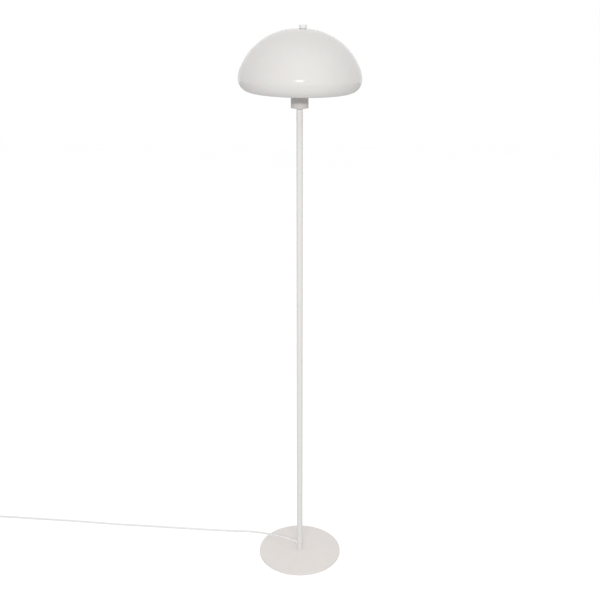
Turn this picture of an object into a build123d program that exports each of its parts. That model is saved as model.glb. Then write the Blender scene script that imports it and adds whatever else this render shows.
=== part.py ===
from build123d import *
from math import acos, asin, cos, degrees, dist, pi, radians, sin, tan
import os

# Mushroom floor lamp, in millimetres.
# The origin is on the floor, at the middle of the base. +Z is up along the pole, -Y is the front, and the
# lead leaves the pole towards -X and a little towards +Y.

# Driving dimensions ---------------------------------------------------------------------------------

FIT_GAP = 0.05          # between a pressed or screwed piece and its hole, on the radius
MOVING_GAP = 0.35       # between two pieces that turn or slide on each other
SEAT_GAP = 0.2          # between a lift-off piece and the seat under it
BEND_SHARE = 0.45       # part of the shorter run that a bend in the lead or a wire takes up

PAD_DIAMETER = 230.0
PAD_THICKNESS = 1.0
BASE_DIAMETER = 238.0
BASE_THICKNESS = 5.0
BASE_TOP_ROUND = 1.2
BASE_BOTTOM_ROUND = 0.5

BASE_SCREW_DIAMETER = 8.0
BASE_SCREW_HEAD_DIAMETER = 15.0
BASE_SCREW_LENGTH = 16.0
BASE_SCREW_RECESS = 0.3     # head below the underside of the plate
BASE_SCREW_PLAY = 0.25      # in the plate, on the radius
BASE_SCREW_SOCKET = 5.0     # hexagon, across flats
BASE_SCREW_SOCKET_DEPTH = 2.5
BASE_SCREW_POINT = 1.0      # bevel at the screw's end

POLE_DIAMETER = 16.0
POLE_WALL = 1.2
POLE_SECTION_LENGTH = 432.5
POLE_SECTIONS = 3
POLE_END_CHAMFER = 0.2

FOOT_INSERT_LENGTH = 14.0
INSERT_LENGTH = 20.0
NIPPLE_DIAMETER = 10.0
NIPPLE_BORE = 7.2
JOINT_NIPPLE_LENGTH = 36.0

CUP_DIAMETER = 44.0
CUP_HEIGHT = 46.0
CUP_WALL = 1.2
CUP_FLOOR = 1.5
CUP_EDGE_ROUND = 1.4
LOCK_NUT_HEIGHT = 3.0
LOCK_NUT_WIDTH = 14.0       # across flats

HOLDER_DIAMETER = 39.4
HOLDER_WALL = 1.9
HOLDER_CAP_HEIGHT = 26.0
HOLDER_CAP_BEVEL = 4.0
HOLDER_HUB_DIAMETER = 16.0
HOLDER_HUB_HEIGHT = 9.0
HOLDER_SKIRT_HEIGHT = 36.0
NIPPLE_BELOW_HUB = 0.5      # the nipple's end, down from the top of the hub
SHEATH_ABOVE_HUB = 3.0      # end of the lead's sheath, up from the top of the hub
CORE_HEIGHT = 11.0
CORE_LOWERED = 2.0          # part of the core that stands in the lower half of the holder
THREAD_SLEEVE_WALL = 0.4
THREAD_SLEEVE_HEIGHT = 21.0
THREAD_SLEEVE_DROP = 1.0    # down from the holder's rim
CONTACT_RISE = 2.0          # where the bulb's tip meets the centre contact, above the core
CENTRE_STRIP_THICKNESS = 0.8
CENTRE_STRIP_WIDTH = 5.0
CENTRE_STRIP_TOP = 4.0      # length of its raised part
SIDE_STRIP_THICKNESS = 0.6
SIDE_STRIP_WIDTH = 6.0
TERMINAL_SCREW_DIAMETER = 3.0
TERMINAL_SCREW_FLOOR = 3.0  # bottom of the screw's hole, above the underside of the core
TERMINAL_SCREW_RISE = 0.7   # above the core

HARP_RING_DIAMETER = 58.0
HARP_RING_THICKNESS = 2.0
HARP_WIRE_DIAMETER = 4.0
HARP_FOOT_X = 26.0
HARP_BELLY_X = 50.0
HARP_SHOULDER_X = 21.0
HARP_FOOT_RISE = 14.0       # straight part above the ring
HARP_BELLY_RISE = 40.0      # height above the ring at which the wire is widest
HARP_SHOULDER_DROP = 30.0   # from the seat down to the end of the straight sides
HARP_SEAT_DIAMETER = 20.0
HARP_SEAT_THICKNESS = 4.3
HARP_WIRE_LET_IN = 1.0      # depth to which the wire is welded into the seat
POST_DIAMETER = 5.9
POST_REACH = 6.4            # above the outer face of the crown
SHADE_RING_DIAMETER = 46.0
SHADE_RING_HEIGHT = 8.0
SHADE_RING_BEVEL = 1.0

# The head leans a little to +X, and the crown's hole stands beside the middle of the dome.
CROWN_RISE = 142.5          # from the cup's rim to the outer face of the crown's flat, at the post
POST_X = 8.0
HEAD_LEAN = 0.8             # degrees
HOLE_BESIDE_MIDDLE = 5.5
SHADE_WALL = 3.0
CROWN_FLAT_RADIUS = 16.0
CROWN_RADIUS = 188.0
SHOULDER_RADIUS = 150.0
FLANK_RADIUS = 60.0
RIM_RADIUS = 31.0
CROWN_END = 13.2            # degrees down from the crown at which each arc ends
SHOULDER_END = 69.2
FLANK_END = 90.0
RIM_END = 205.0
CROWN_HOLE_DIAMETER = 8.0

SEAT_WASHER_DIAMETER = 18.0
SEAT_WASHER_THICKNESS = 1.0
FINIAL_DIAMETER = 19.0
FINIAL_HEIGHT = 8.0
FINIAL_EDGE_ROUND = 0.6
FINIAL_WASHER_DIAMETER = 16.0
FINIAL_WASHER_THICKNESS = 0.6

BULB_GLOBE_DIAMETER = 60.0
BULB_LENGTH = 110.0
BULB_CAP_DIAMETER = 26.3
BULB_CAP_HEIGHT = 27.0
BULB_CONTACT_DIAMETER = 9.0
BULB_CONTACT_HEIGHT = 1.5
BULB_INSULATOR_HEIGHT = 4.2
BULB_INSULATOR_MARGIN = 2.0     # its lower end is this much wider than the contact
BULB_INSULATOR_TOP_DIAMETER = 22.0
BULB_CAP_WALL = 0.4
BULB_CAP_BEVEL = 2.0
BULB_NECK_DIAMETER = 29.0
BULB_BODY_HEIGHT = 41.0
BULB_BODY_WALL = 1.6
BULB_NECK_HEIGHT = 3.0
BULB_FLARE_HEIGHT = 23.0    # above the cap, where the flare has taken BULB_FLARE_SHARE of its widening
BULB_FLARE_SHARE = 0.62
BULB_DOME_WALL = 1.2
BULB_BOARD_THICKNESS = 1.6
BULB_BOARD_RIM = 2.4        # between the board's edge and the outside of the body
DRIVER_WIDTH = 16.0
DRIVER_HEIGHT = 30.0
DRIVER_THICKNESS = 1.6
CAPACITOR_DIAMETER = 8.0
CAPACITOR_HEIGHT = 14.0
CAPACITOR_RISE = 4.0
CAPACITOR_LET_IN = 0.2

LEAD_DIAMETER = 5.0
CORE_WIRE_DIAMETER = 2.2
CORE_WIRE_SPACING = 2.6
CORE_WIRE_STRAIGHT = 0.3    # part of its height that a core rises straight at each end
TERMINAL_X = 9.0
EXIT_HEIGHT = 28.0
EXIT_AZIMUTH = 150.0        # degrees from +X
EXIT_BEND_RADIUS = 11.5
LEAD_OFFSET = 3.8           # how far the lead stands back from the pole's axis above its bend
LEAD_DRIFT_LENGTH = 108.0   # height over which it moves from the axis to there
RELIEF_HOLE_DIAMETER = 8.0
RELIEF_FLANGE_DIAMETER = 11.0
RELIEF_FLANGE_THICKNESS = 1.6
RELIEF_ROOT_DIAMETER = 8.6
RELIEF_TIP_DIAMETER = 6.4
RELIEF_END = 32.0           # from the pole's axis to the tip
LEVEL_END = 46.0            # from the pole's axis to the point where the lead starts to sink

SWITCH_LENGTH = 70.0
SWITCH_WIDTH = 34.0
SWITCH_CORNER = 13.0
SWITCH_BASE_HEIGHT = 9.0
SWITCH_COVER_HEIGHT = 9.0
SWITCH_WALL = 2.0
SWITCH_NUB_LENGTH = 12.0
SWITCH_NUB_ROOT_DIAMETER = 9.0
SWITCH_NUB_TIP_DIAMETER = 7.0
SWITCH_NUB_CORNER = 5.0
SWITCH_LEAD_HEIGHT = 6.0
BUTTON_LENGTH = 34.0
BUTTON_WIDTH = 20.0
BUTTON_TRAVEL = 3.0
BUTTON_LEFT = 1.0           # still above the cover when it is pressed
BUTTON_FLANGE = 2.0
BUTTON_ROUND = 1.6
BUTTON_END_FLAT = 1.0       # straight part left in the middle of its rounded ends
SPRING_DIAMETER = 7.0
SPRING_WIRE = 0.7
SPRING_TURNS = 5
SWITCH_SCREW_DIAMETER = 3.0
SWITCH_SCREW_HEAD = 5.4
SWITCH_SCREW_HEAD_THICKNESS = 2.0
SWITCH_SCREW_SEAT = 3.0     # height of the seat under the screw's head
SWITCH_SCREW_HEAD_PLAY = 0.1
SWITCH_SCREW_CLEAR = 0.5    # between its tip and the end of its hole
SWITCH_SCREW_ROOF = 1.0     # left above the hole, under the cover's ceiling
SWITCH_SCREW_X = 25.0
SWITCH_SCREW_Y = 9.5
SWITCH_BOSS_DIAMETER = 8.4
SWITCH_TERMINAL_X = 13.0
SWITCH_TERMINAL_Y = -6.0
SWITCH_TERMINAL_LENGTH = 8.0
SWITCH_TERMINAL_SIZE = 5.0
SWITCH_WIRE_STRAIGHT = 8.0
SWITCH_WIRE_BEND_START = 9.0    # from the terminal, outwards
SWITCH_WIRE_BEND_END = 3.5
SWITCH_WIRE_BEND = 6.0

COIL_LAYERS_GAP = 0.5       # between turns, sideways and between the layers
COIL_OUTER_RADIUS = 33.5    # middle line of the outermost half turn
COIL_HALF_TURNS = 4         # in each layer

PLUG_WIDTH = 35.0
PLUG_THICKNESS = 13.7
PLUG_LENGTH = 32.0
PLUG_FRONT_LENGTH = 14.4    # part of full width
PLUG_BACK_WIDTH = 17.5
PLUG_BACK_THICKNESS = 12.3
PLUG_CORNER = 5.0
PLUG_RELIEF_LENGTH = 24.0
PLUG_RELIEF_ROOT_DIAMETER = 10.0
PLUG_RELIEF_TIP_DIAMETER = 6.6
PIN_DIAMETER = 4.0
PIN_LENGTH = 19.0
PIN_SPACING = 18.6
PIN_ROOT_DIAMETER = 3.0
PIN_ROOT_LENGTH = 8.0
PIN_TIP_CHAMFER = 0.8

LEAD_RADIUS = LEAD_DIAMETER / 2
PLUG_REST = PLUG_THICKNESS / 2
EXIT_X = cos(radians(EXIT_AZIMUTH))
EXIT_Y = sin(radians(EXIT_AZIMUTH))

# Points of the free lead's route, chosen by hand. It leaves the strain relief level, sinks past the rim
# of the base to the floor, and runs along the floor to the foot switch.
RUN_POINTS = [
    (RELIEF_END * EXIT_X, RELIEF_END * EXIT_Y, EXIT_HEIGHT),
    (LEVEL_END * EXIT_X, LEVEL_END * EXIT_Y, EXIT_HEIGHT),
    (-55.3, 32.2, 26.0),
    (-72.2, 42.9, 22.3),
    (-88.7, 54.3, 18.0),
    (-105.2, 65.7, 13.6),
    (-120.7, 76.6, 8.9),
    (-134.8, 86.2, 4.6),
    (-150.0, 92.2, LEAD_RADIUS),
    (-170.0, 93.8, LEAD_RADIUS),
    (-200.0, 94.8, LEAD_RADIUS),
    (-240.0, 97.4, LEAD_RADIUS),
    (-292.0, 102.4, LEAD_RADIUS),
    (-350.0, 108.2, LEAD_RADIUS),
    (-412.0, 114.5, LEAD_RADIUS),
    (-480.0, 121.8, LEAD_RADIUS),
    (-545.0, 127.7, LEAD_RADIUS),
    (-612.0, 135.4, LEAD_RADIUS),
    (-680.0, 144.4, LEAD_RADIUS),
    (-748.0, 152.2, LEAD_RADIUS),
    (-815.0, 158.8, LEAD_RADIUS),
    (-882.0, 166.2, LEAD_RADIUS),
    (-925.0, 170.6, LEAD_RADIUS),
    (-951.0, 172.8, 2.7),
    (-969.0, 173.8, 4.6),
    (-980.0, 174.0, SWITCH_LEAD_HEIGHT),
    (-990.0, 174.0, SWITCH_LEAD_HEIGHT),
]
# From the switch to the coil, as (distance from the switch's nub, height).
TAIL_STEPS = [
    (0.0, SWITCH_LEAD_HEIGHT),
    (8.0, SWITCH_LEAD_HEIGHT),
    (19.0, 4.6),
    (31.0, 2.9),
    (39.0, LEAD_RADIUS),
    (47.0, LEAD_RADIUS),
]
# From the coil to the plug, as (distance from the coil's end, height). The first two are in its upper layer.
END_STEPS = [
    (0.0, LEAD_RADIUS + LEAD_DIAMETER + COIL_LAYERS_GAP),
    (8.0, LEAD_RADIUS + LEAD_DIAMETER + COIL_LAYERS_GAP),
    (18.0, 7.55),
    (28.0, 6.95),
    (34.0, PLUG_REST),
    (41.0, PLUG_REST),
]

# Places that follow from the sizes ------------------------------------------------------------------

BASE_UNDERSIDE = PAD_THICKNESS
BASE_TOP = BASE_UNDERSIDE + BASE_THICKNESS
POLE_BORE = POLE_DIAMETER - 2 * POLE_WALL
POLE_TOP = BASE_TOP + POLE_SECTIONS * POLE_SECTION_LENGTH
INSERT_DIAMETER = POLE_BORE - 2 * FIT_GAP
NIPPLE_HOLE = NIPPLE_DIAMETER + 2 * FIT_GAP

CUP_RIM = POLE_TOP + CUP_HEIGHT
HOLDER_BOTTOM = POLE_TOP + CUP_FLOOR + LOCK_NUT_HEIGHT
HOLDER_JOINT = HOLDER_BOTTOM + HOLDER_CAP_HEIGHT
HOLDER_RIM = HOLDER_JOINT + HOLDER_SKIRT_HEIGHT
HOLDER_BORE = HOLDER_DIAMETER - 2 * HOLDER_WALL
HEAD_NIPPLE_TOP = HOLDER_BOTTOM + HOLDER_HUB_HEIGHT - NIPPLE_BELOW_HUB
HEAD_NIPPLE_BOTTOM = POLE_TOP - JOINT_NIPPLE_LENGTH / 2
LEAD_TOP = HOLDER_BOTTOM + HOLDER_HUB_HEIGHT + SHEATH_ABOVE_HUB
CORE_BOTTOM = HOLDER_JOINT - CORE_LOWERED
CORE_TOP = CORE_BOTTOM + CORE_HEIGHT
CONTACT_TOP = CORE_TOP + CONTACT_RISE
BULB_BOTTOM = CONTACT_TOP + MOVING_GAP
SLEEVE_BORE = BULB_CAP_DIAMETER + 2 * MOVING_GAP
SLEEVE_TOP = HOLDER_RIM - THREAD_SLEEVE_DROP
SLEEVE_BOTTOM = SLEEVE_TOP - THREAD_SLEEVE_HEIGHT

CROWN_HEIGHT = CUP_RIM + CROWN_RISE
HARP_RING_TOP = CUP_RIM + HARP_RING_THICKNESS
HEAD = Location((POST_X, 0, CROWN_HEIGHT), (0, HEAD_LEAN, 0))
SEAT_WASHER_TOP = -SHADE_WALL - SEAT_GAP
HARP_SEAT_TOP = SEAT_WASHER_TOP - SEAT_WASHER_THICKNESS
HARP_SEAT_BOTTOM = HARP_SEAT_TOP - HARP_SEAT_THICKNESS
HARP_BAR = HARP_SEAT_BOTTOM + HARP_WIRE_LET_IN - HARP_WIRE_DIAMETER / 2
POST_HOLE = POST_DIAMETER + 2 * MOVING_GAP
FINIAL_BOTTOM = SEAT_GAP + FINIAL_WASHER_THICKNESS

SWITCH_Y = RUN_POINTS[-1][1]
SWITCH_X = RUN_POINTS[-1][0] - SWITCH_NUB_LENGTH - SWITCH_LENGTH / 2
SWITCH_FAR_X = SWITCH_X - SWITCH_LENGTH / 2 - SWITCH_NUB_LENGTH
TAIL_POINTS = [(SWITCH_FAR_X - step, SWITCH_Y, height) for step, height in TAIL_STEPS]
SWITCH_TOP = SWITCH_BASE_HEIGHT + SWITCH_COVER_HEIGHT
SWITCH_CEILING = SWITCH_TOP - SWITCH_WALL
BUTTON_FLANGE_TOP = SWITCH_CEILING - 2 * SEAT_GAP
BUTTON_UNDERSIDE = BUTTON_FLANGE_TOP - BUTTON_FLANGE
SPRING_FLOOR = SWITCH_WALL
BUTTON_TOP = SWITCH_TOP + BUTTON_LEFT + BUTTON_TRAVEL
COIL_PITCH = LEAD_DIAMETER + COIL_LAYERS_GAP


# Helpers --------------------------------------------------------------------------------------------

STANDING = (Align.CENTER, Align.CENTER, Align.MIN)      # placed by the middle of its lower face
HANGING = (Align.CENTER, Align.CENTER, Align.MAX)       # placed by the middle of its upper face


def save(name, shape):
    """Write one named piece."""
    os.makedirs("parts", exist_ok=True)
    shape.label = name
    export_step(shape, f"parts/{name}.step")


def disc(diameter, bottom, top, hole=0.0):
    """An upright round piece between two heights, with a hole through it if one is given."""
    piece = Pos(0, 0, bottom) * Cylinder(diameter / 2, top - bottom, align=STANDING)
    if hole:
        cutter = Cylinder(hole / 2, top - bottom + 2, align=STANDING)
        piece -= Pos(0, 0, bottom - 1) * cutter
    return piece


def cone(bottom_diameter, top_diameter, bottom, top):
    """An upright cone between two heights."""
    piece = Cone(bottom_diameter / 2, top_diameter / 2, top - bottom, align=STANDING)
    return Pos(0, 0, bottom) * piece


def turned(points):
    """A solid of revolution about Z, from corners given as (radius, height)."""
    corners = [(radius, 0, height) for radius, height in points]
    return revolve(make_face(Polyline(*corners, close=True)), Axis.Z)


def corner_radii(points):
    """The largest even bend for each corner of a route, from the shorter of its two runs."""
    radii = []
    for before, here, after in zip(points, points[1:], points[2:]):
        arriving = Vector(*here) - Vector(*before)
        leaving = Vector(*after) - Vector(*here)
        shorter = min(arriving.length, leaving.length)
        radii.append(BEND_SHARE * shorter / tan(radians(arriving.get_angle(leaving) / 2)))
    return radii


def tube_along(path, diameter):
    """A round wire or lead swept along a path."""
    section = Plane(origin=path @ 0, z_dir=path % 0) * Circle(diameter / 2)
    return sweep(section, path=path)


def lead_along(name, points, radii=None):
    """A length of the lead along a route; prints its bends and how its volume compares."""
    radii = radii or corner_radii(points)
    path = FilletPolyline(*points, radius=radii)
    tube = tube_along(path, LEAD_DIAMETER)
    expected = pi * LEAD_RADIUS**2 * path.length
    share = tube.volume / expected
    print(f"{name}: length {path.length:.1f}, tightest bend {min(radii):.1f}, volume share {share:.5f}")
    return tube


# Base -----------------------------------------------------------------------------------------------

def make_floor_pad():
    return disc(PAD_DIAMETER, 0, PAD_THICKNESS)


def screw_head_profile(play):
    """Heights and radii of the countersunk head, or of its seat in the plate when play is given."""
    head_bottom = BASE_UNDERSIDE + (0 if play else BASE_SCREW_RECESS)
    head_radius = BASE_SCREW_HEAD_DIAMETER / 2 + play
    shank_radius = BASE_SCREW_DIAMETER / 2 + play
    cone_bottom = BASE_UNDERSIDE + BASE_SCREW_RECESS
    cone_top = cone_bottom + head_radius - shank_radius
    return head_bottom, cone_bottom, cone_top, head_radius, shank_radius


def make_base_plate():
    plate = disc(BASE_DIAMETER, BASE_UNDERSIDE, BASE_TOP)
    plate = fillet(plate.edges().sort_by(Axis.Z)[-1], BASE_TOP_ROUND)
    plate = fillet(plate.edges().sort_by(Axis.Z)[0], BASE_BOTTOM_ROUND)
    head_bottom, cone_bottom, cone_top, head_radius, shank_radius = screw_head_profile(BASE_SCREW_PLAY)
    seat = turned([
        (0, head_bottom - 1),
        (head_radius, head_bottom - 1),
        (head_radius, cone_bottom),
        (shank_radius, cone_top),
        (shank_radius, BASE_TOP + 1),
        (0, BASE_TOP + 1),
    ])
    return plate - seat


def make_base_screw():
    head_bottom, cone_bottom, cone_top, head_radius, shank_radius = screw_head_profile(0)
    top = head_bottom + BASE_SCREW_LENGTH
    screw = turned([
        (0, head_bottom),
        (head_radius, cone_bottom),
        (shank_radius, cone_top),
        (shank_radius, top - BASE_SCREW_POINT),
        (shank_radius - BASE_SCREW_POINT, top),
        (0, top),
    ])
    socket = extrude(RegularPolygon(BASE_SCREW_SOCKET / 2, 6, major_radius=False), BASE_SCREW_SOCKET_DEPTH)
    return screw - Pos(0, 0, head_bottom) * socket


def make_foot_insert():
    hole = BASE_SCREW_DIAMETER + 2 * FIT_GAP
    return disc(INSERT_DIAMETER, BASE_TOP, BASE_TOP + FOOT_INSERT_LENGTH, hole)


# Pole -----------------------------------------------------------------------------------------------

def exit_plane(distance):
    """A plane across the lead's way out, at a distance from the pole's axis."""
    outward = Vector(EXIT_X, EXIT_Y, 0)
    return Plane(origin=outward * distance + Vector(0, 0, EXIT_HEIGHT), z_dir=outward)


def make_pole_section(number):
    """One length of tube, counted from the foot; the lowest one has the hole for the lead."""
    bottom = BASE_TOP + number * POLE_SECTION_LENGTH
    tube = disc(POLE_DIAMETER, bottom, bottom + POLE_SECTION_LENGTH)
    ends = tube.edges().filter_by(GeomType.CIRCLE)
    tube = chamfer(ends, POLE_END_CHAMFER)
    tube -= disc(POLE_BORE, bottom - 1, bottom + POLE_SECTION_LENGTH + 1)
    if number == 0:
        hole = Cylinder(RELIEF_HOLE_DIAMETER / 2, POLE_DIAMETER, align=STANDING)
        tube -= exit_plane(0).location * hole
    return tube


def make_insert(end, upwards):
    """A threaded bush in a tube's end, above or below the given height."""
    bottom = end if upwards else end - INSERT_LENGTH
    return disc(INSERT_DIAMETER, bottom, bottom + INSERT_LENGTH, NIPPLE_HOLE)


def make_joint_nipple(seam):
    half = JOINT_NIPPLE_LENGTH / 2
    return disc(NIPPLE_DIAMETER, seam - half, seam + half, NIPPLE_BORE)


# Lead inside the pole and its way out ----------------------------------------------------------------

def make_cord_relief():
    """A moulded sleeve: a neck in the pole's wall, a flange on it, and a tapered tail round the lead."""
    neck_radius = RELIEF_HOLE_DIAMETER / 2 - FIT_GAP
    outside = POLE_DIAMETER / 2 + FIT_GAP
    inside = POLE_BORE / 2 + FIT_GAP
    flange_end = outside + RELIEF_FLANGE_THICKNESS
    along = exit_plane(0).location
    neck = Cylinder(neck_radius, outside + 1, align=STANDING)
    flange = Cylinder(RELIEF_FLANGE_DIAMETER / 2, flange_end, align=STANDING)
    flange = fillet(flange.edges().sort_by(Axis.Z)[-1], RELIEF_FLANGE_THICKNESS / 2)
    tail_length = RELIEF_END - flange_end + 1
    tail = Cone(RELIEF_ROOT_DIAMETER / 2, RELIEF_TIP_DIAMETER / 2, tail_length, align=STANDING)
    body = along * (flange + Pos(0, 0, flange_end - 1) * tail)
    body -= disc(2 * outside, 0, 2 * EXIT_HEIGHT)
    neck = along * neck - disc(2 * inside, 0, 2 * EXIT_HEIGHT)
    bore = Cylinder(LEAD_RADIUS + FIT_GAP, RELIEF_END + 1, align=STANDING)
    return body + neck - along * bore


def make_inner_lead():
    """The lead from the lampholder down the pole, round its bend and out through the strain relief."""
    back_x = -LEAD_OFFSET * EXIT_X
    back_y = -LEAD_OFFSET * EXIT_Y
    drift_start = BASE_TOP + POLE_SECTION_LENGTH - JOINT_NIPPLE_LENGTH
    points = [
        (0, 0, LEAD_TOP),
        (0, 0, drift_start),
        (back_x, back_y, drift_start - LEAD_DRIFT_LENGTH),
        (back_x, back_y, EXIT_HEIGHT),
        RUN_POINTS[0],
    ]
    gentle = corner_radii(points)[1]
    return lead_along("inner_lead", points, [gentle, gentle, EXIT_BEND_RADIUS])


def make_lead_wire(side):
    """One core of the lead, from the end of its sheath to its terminal."""
    start_x = side * CORE_WIRE_SPACING / 2
    end_x = side * TERMINAL_X
    room = CORE_BOTTOM - LEAD_TOP
    points = [
        (start_x, 0, LEAD_TOP),
        (start_x, 0, LEAD_TOP + room * CORE_WIRE_STRAIGHT),
        (end_x, 0, CORE_BOTTOM - room * CORE_WIRE_STRAIGHT),
        (end_x, 0, CORE_BOTTOM),
    ]
    return tube_along(FilletPolyline(*points, radius=CORE_WIRE_DIAMETER), CORE_WIRE_DIAMETER)


# Cup and lampholder ----------------------------------------------------------------------------------

def make_socket_cup():
    cup = disc(CUP_DIAMETER, POLE_TOP, CUP_RIM)
    cup = fillet(cup.edges().sort_by(Axis.Z)[0], CUP_EDGE_ROUND)
    cup -= disc(CUP_DIAMETER - 2 * CUP_WALL, POLE_TOP + CUP_FLOOR, CUP_RIM + 1)
    return cup - disc(NIPPLE_HOLE, POLE_TOP - 1, CUP_RIM)


def make_cup_lock_nut():
    nut = extrude(RegularPolygon(LOCK_NUT_WIDTH / 2, 6, major_radius=False), LOCK_NUT_HEIGHT)
    nut = Pos(0, 0, POLE_TOP + CUP_FLOOR) * nut
    return nut - disc(NIPPLE_HOLE, POLE_TOP, HOLDER_BOTTOM + 1)


def make_head_nipple():
    return disc(NIPPLE_DIAMETER, HEAD_NIPPLE_BOTTOM, HEAD_NIPPLE_TOP, NIPPLE_BORE)


def make_holder_cap():
    cap = disc(HOLDER_DIAMETER, HOLDER_BOTTOM, HOLDER_JOINT)
    cap = chamfer(cap.edges().sort_by(Axis.Z)[0], HOLDER_CAP_BEVEL)
    floor = HOLDER_BOTTOM + HOLDER_WALL
    hollow = disc(HOLDER_BORE, floor, HOLDER_JOINT + 1)
    hollow = chamfer(hollow.edges().sort_by(Axis.Z)[0], HOLDER_CAP_BEVEL)
    hub = disc(HOLDER_HUB_DIAMETER, HOLDER_BOTTOM, HOLDER_BOTTOM + HOLDER_HUB_HEIGHT)
    return (cap - hollow) + hub - disc(NIPPLE_HOLE, HOLDER_BOTTOM - 1, HOLDER_JOINT)


def make_holder_skirt():
    skirt = disc(HOLDER_DIAMETER, HOLDER_JOINT, HOLDER_RIM)
    skirt = chamfer(skirt.edges().sort_by(Axis.Z)[-1], HOLDER_WALL / 2)
    skirt -= disc(HOLDER_BORE, HOLDER_JOINT - 1, CORE_TOP + FIT_GAP)
    sleeve_hole = SLEEVE_BORE + 2 * THREAD_SLEEVE_WALL + 2 * FIT_GAP
    return skirt - disc(sleeve_hole, CORE_TOP, HOLDER_RIM + 1)


def make_holder_core():
    core = disc(HOLDER_BORE - 2 * FIT_GAP, CORE_BOTTOM, CORE_TOP)
    hole = disc(TERMINAL_SCREW_DIAMETER + 2 * FIT_GAP, CORE_BOTTOM + TERMINAL_SCREW_FLOOR, CORE_TOP + 1)
    for side in (-1, 1):
        core -= Pos(side * TERMINAL_X, 0, 0) * hole
    return core


def make_centre_contact():
    """A bent strip from the live terminal to the middle, raised where the bulb's contact meets it."""
    thickness = CENTRE_STRIP_THICKNESS
    foot_end = TERMINAL_X - TERMINAL_SCREW_DIAMETER
    near = CENTRE_STRIP_TOP / 2
    corners = [
        (-near, CONTACT_TOP),
        (near, CONTACT_TOP),
        (foot_end, CORE_TOP + thickness),
        (foot_end, CORE_TOP),
        (foot_end - thickness, CORE_TOP),
        (near - thickness / 2, CONTACT_TOP - thickness),
        (-near, CONTACT_TOP - thickness),
    ]
    side_view = make_face(Polyline(*[(x, 0, z) for x, z in corners], close=True))
    return extrude(side_view, CENTRE_STRIP_WIDTH / 2, dir=(0, 1, 0), both=True)


def make_side_contact():
    """A flat strip from the neutral terminal up to the foot of the metal thread."""
    thickness = SIDE_STRIP_THICKNESS
    upright_x = -SLEEVE_BORE / 2 + thickness
    foot_end = -TERMINAL_X + TERMINAL_SCREW_DIAMETER / 2 + thickness
    upright = Box(thickness, SIDE_STRIP_WIDTH, SLEEVE_BOTTOM - CORE_TOP, align=STANDING)
    foot = Box(foot_end - upright_x, SIDE_STRIP_WIDTH, thickness, align=STANDING)
    strip = Pos(upright_x, 0, CORE_TOP) * upright + Pos((upright_x + foot_end) / 2, 0, CORE_TOP) * foot
    screw_room = disc(TERMINAL_SCREW_DIAMETER + 2 * FIT_GAP, CORE_TOP - 1, SLEEVE_BOTTOM)
    return strip - Pos(-TERMINAL_X, 0, 0) * screw_room


def make_terminal_screws():
    """Two screws in the core, whose tips clamp the cores of the lead."""
    bottom = CORE_BOTTOM + TERMINAL_SCREW_FLOOR + SEAT_GAP
    screw = disc(TERMINAL_SCREW_DIAMETER, bottom, CORE_TOP + TERMINAL_SCREW_RISE)
    return Compound([Pos(side * TERMINAL_X, 0, 0) * screw for side in (-1, 1)])


def make_thread_sleeve():
    bore = SLEEVE_BORE
    return disc(bore + 2 * THREAD_SLEEVE_WALL, SLEEVE_BOTTOM, SLEEVE_TOP, bore)


def make_shade_ring():
    hole = HOLDER_DIAMETER + 2 * FIT_GAP
    ring = disc(SHADE_RING_DIAMETER, HARP_RING_TOP, HARP_RING_TOP + SHADE_RING_HEIGHT)
    ring = chamfer(ring.edges().sort_by(Axis.Z)[-1], SHADE_RING_BEVEL)
    return ring - disc(hole, HARP_RING_TOP - 1, HOLDER_RIM)


# Harp and shade --------------------------------------------------------------------------------------

def harp_point(x, height):
    """A point of the harp's wire: the harp leans over towards the post as it rises."""
    share = (height - HARP_RING_TOP) / (CROWN_HEIGHT - HARP_RING_TOP)
    return (x + POST_X * share, 0, height)


def make_harp():
    """The foot ring, the bent wire, the seat and the threaded post, welded into one piece."""
    ring_hole = HOLDER_DIAMETER + 2 * FIT_GAP
    ring = disc(HARP_RING_DIAMETER, CUP_RIM, HARP_RING_TOP, ring_hole)
    straight_top = CROWN_HEIGHT - HARP_SHOULDER_DROP
    shoulder = [HEAD * Pos(side * HARP_SHOULDER_X, 0, HARP_BAR) for side in (-1, 1)]
    shoulder = [tuple(place.position) for place in shoulder]
    side_heights = [
        (HARP_FOOT_X, HARP_RING_TOP - HARP_RING_THICKNESS / 2),
        (HARP_FOOT_X, HARP_RING_TOP + HARP_FOOT_RISE),
        (HARP_BELLY_X, HARP_RING_TOP + HARP_BELLY_RISE),
        (HARP_BELLY_X, straight_top),
    ]
    left = [harp_point(-x, height) for x, height in side_heights]
    right = [harp_point(x, height) for x, height in side_heights]
    points = left + shoulder + right[::-1]
    limits = corner_radii(points)
    radii = [min(limit, HARP_SHOULDER_X) for limit in limits]
    wire = tube_along(FilletPolyline(*points, radius=radii), HARP_WIRE_DIAMETER)
    seat = disc(HARP_SEAT_DIAMETER, HARP_SEAT_BOTTOM, HARP_SEAT_TOP)
    post = disc(POST_DIAMETER, HARP_SEAT_BOTTOM, POST_REACH)
    return ring + wire + HEAD * (seat + post)


def make_seat_washer():
    return HEAD * disc(SEAT_WASHER_DIAMETER, HARP_SEAT_TOP, SEAT_WASHER_TOP, POST_HOLE)


def dome_centres():
    """Middle points of the dome's arcs, as (radius, height) from the crown's flat."""
    flat_angle = asin(CROWN_FLAT_RADIUS / CROWN_RADIUS)
    crown = (0.0, -CROWN_RADIUS * cos(flat_angle))
    centres = [crown]
    steps = [
        (CROWN_RADIUS - SHOULDER_RADIUS, CROWN_END),
        (SHOULDER_RADIUS - FLANK_RADIUS, SHOULDER_END),
        (FLANK_RADIUS - RIM_RADIUS, FLANK_END),
    ]
    for length, angle in steps:
        r, z = centres[-1]
        centres.append((r + length * sin(radians(angle)), z + length * cos(radians(angle))))
    return centres


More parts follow.
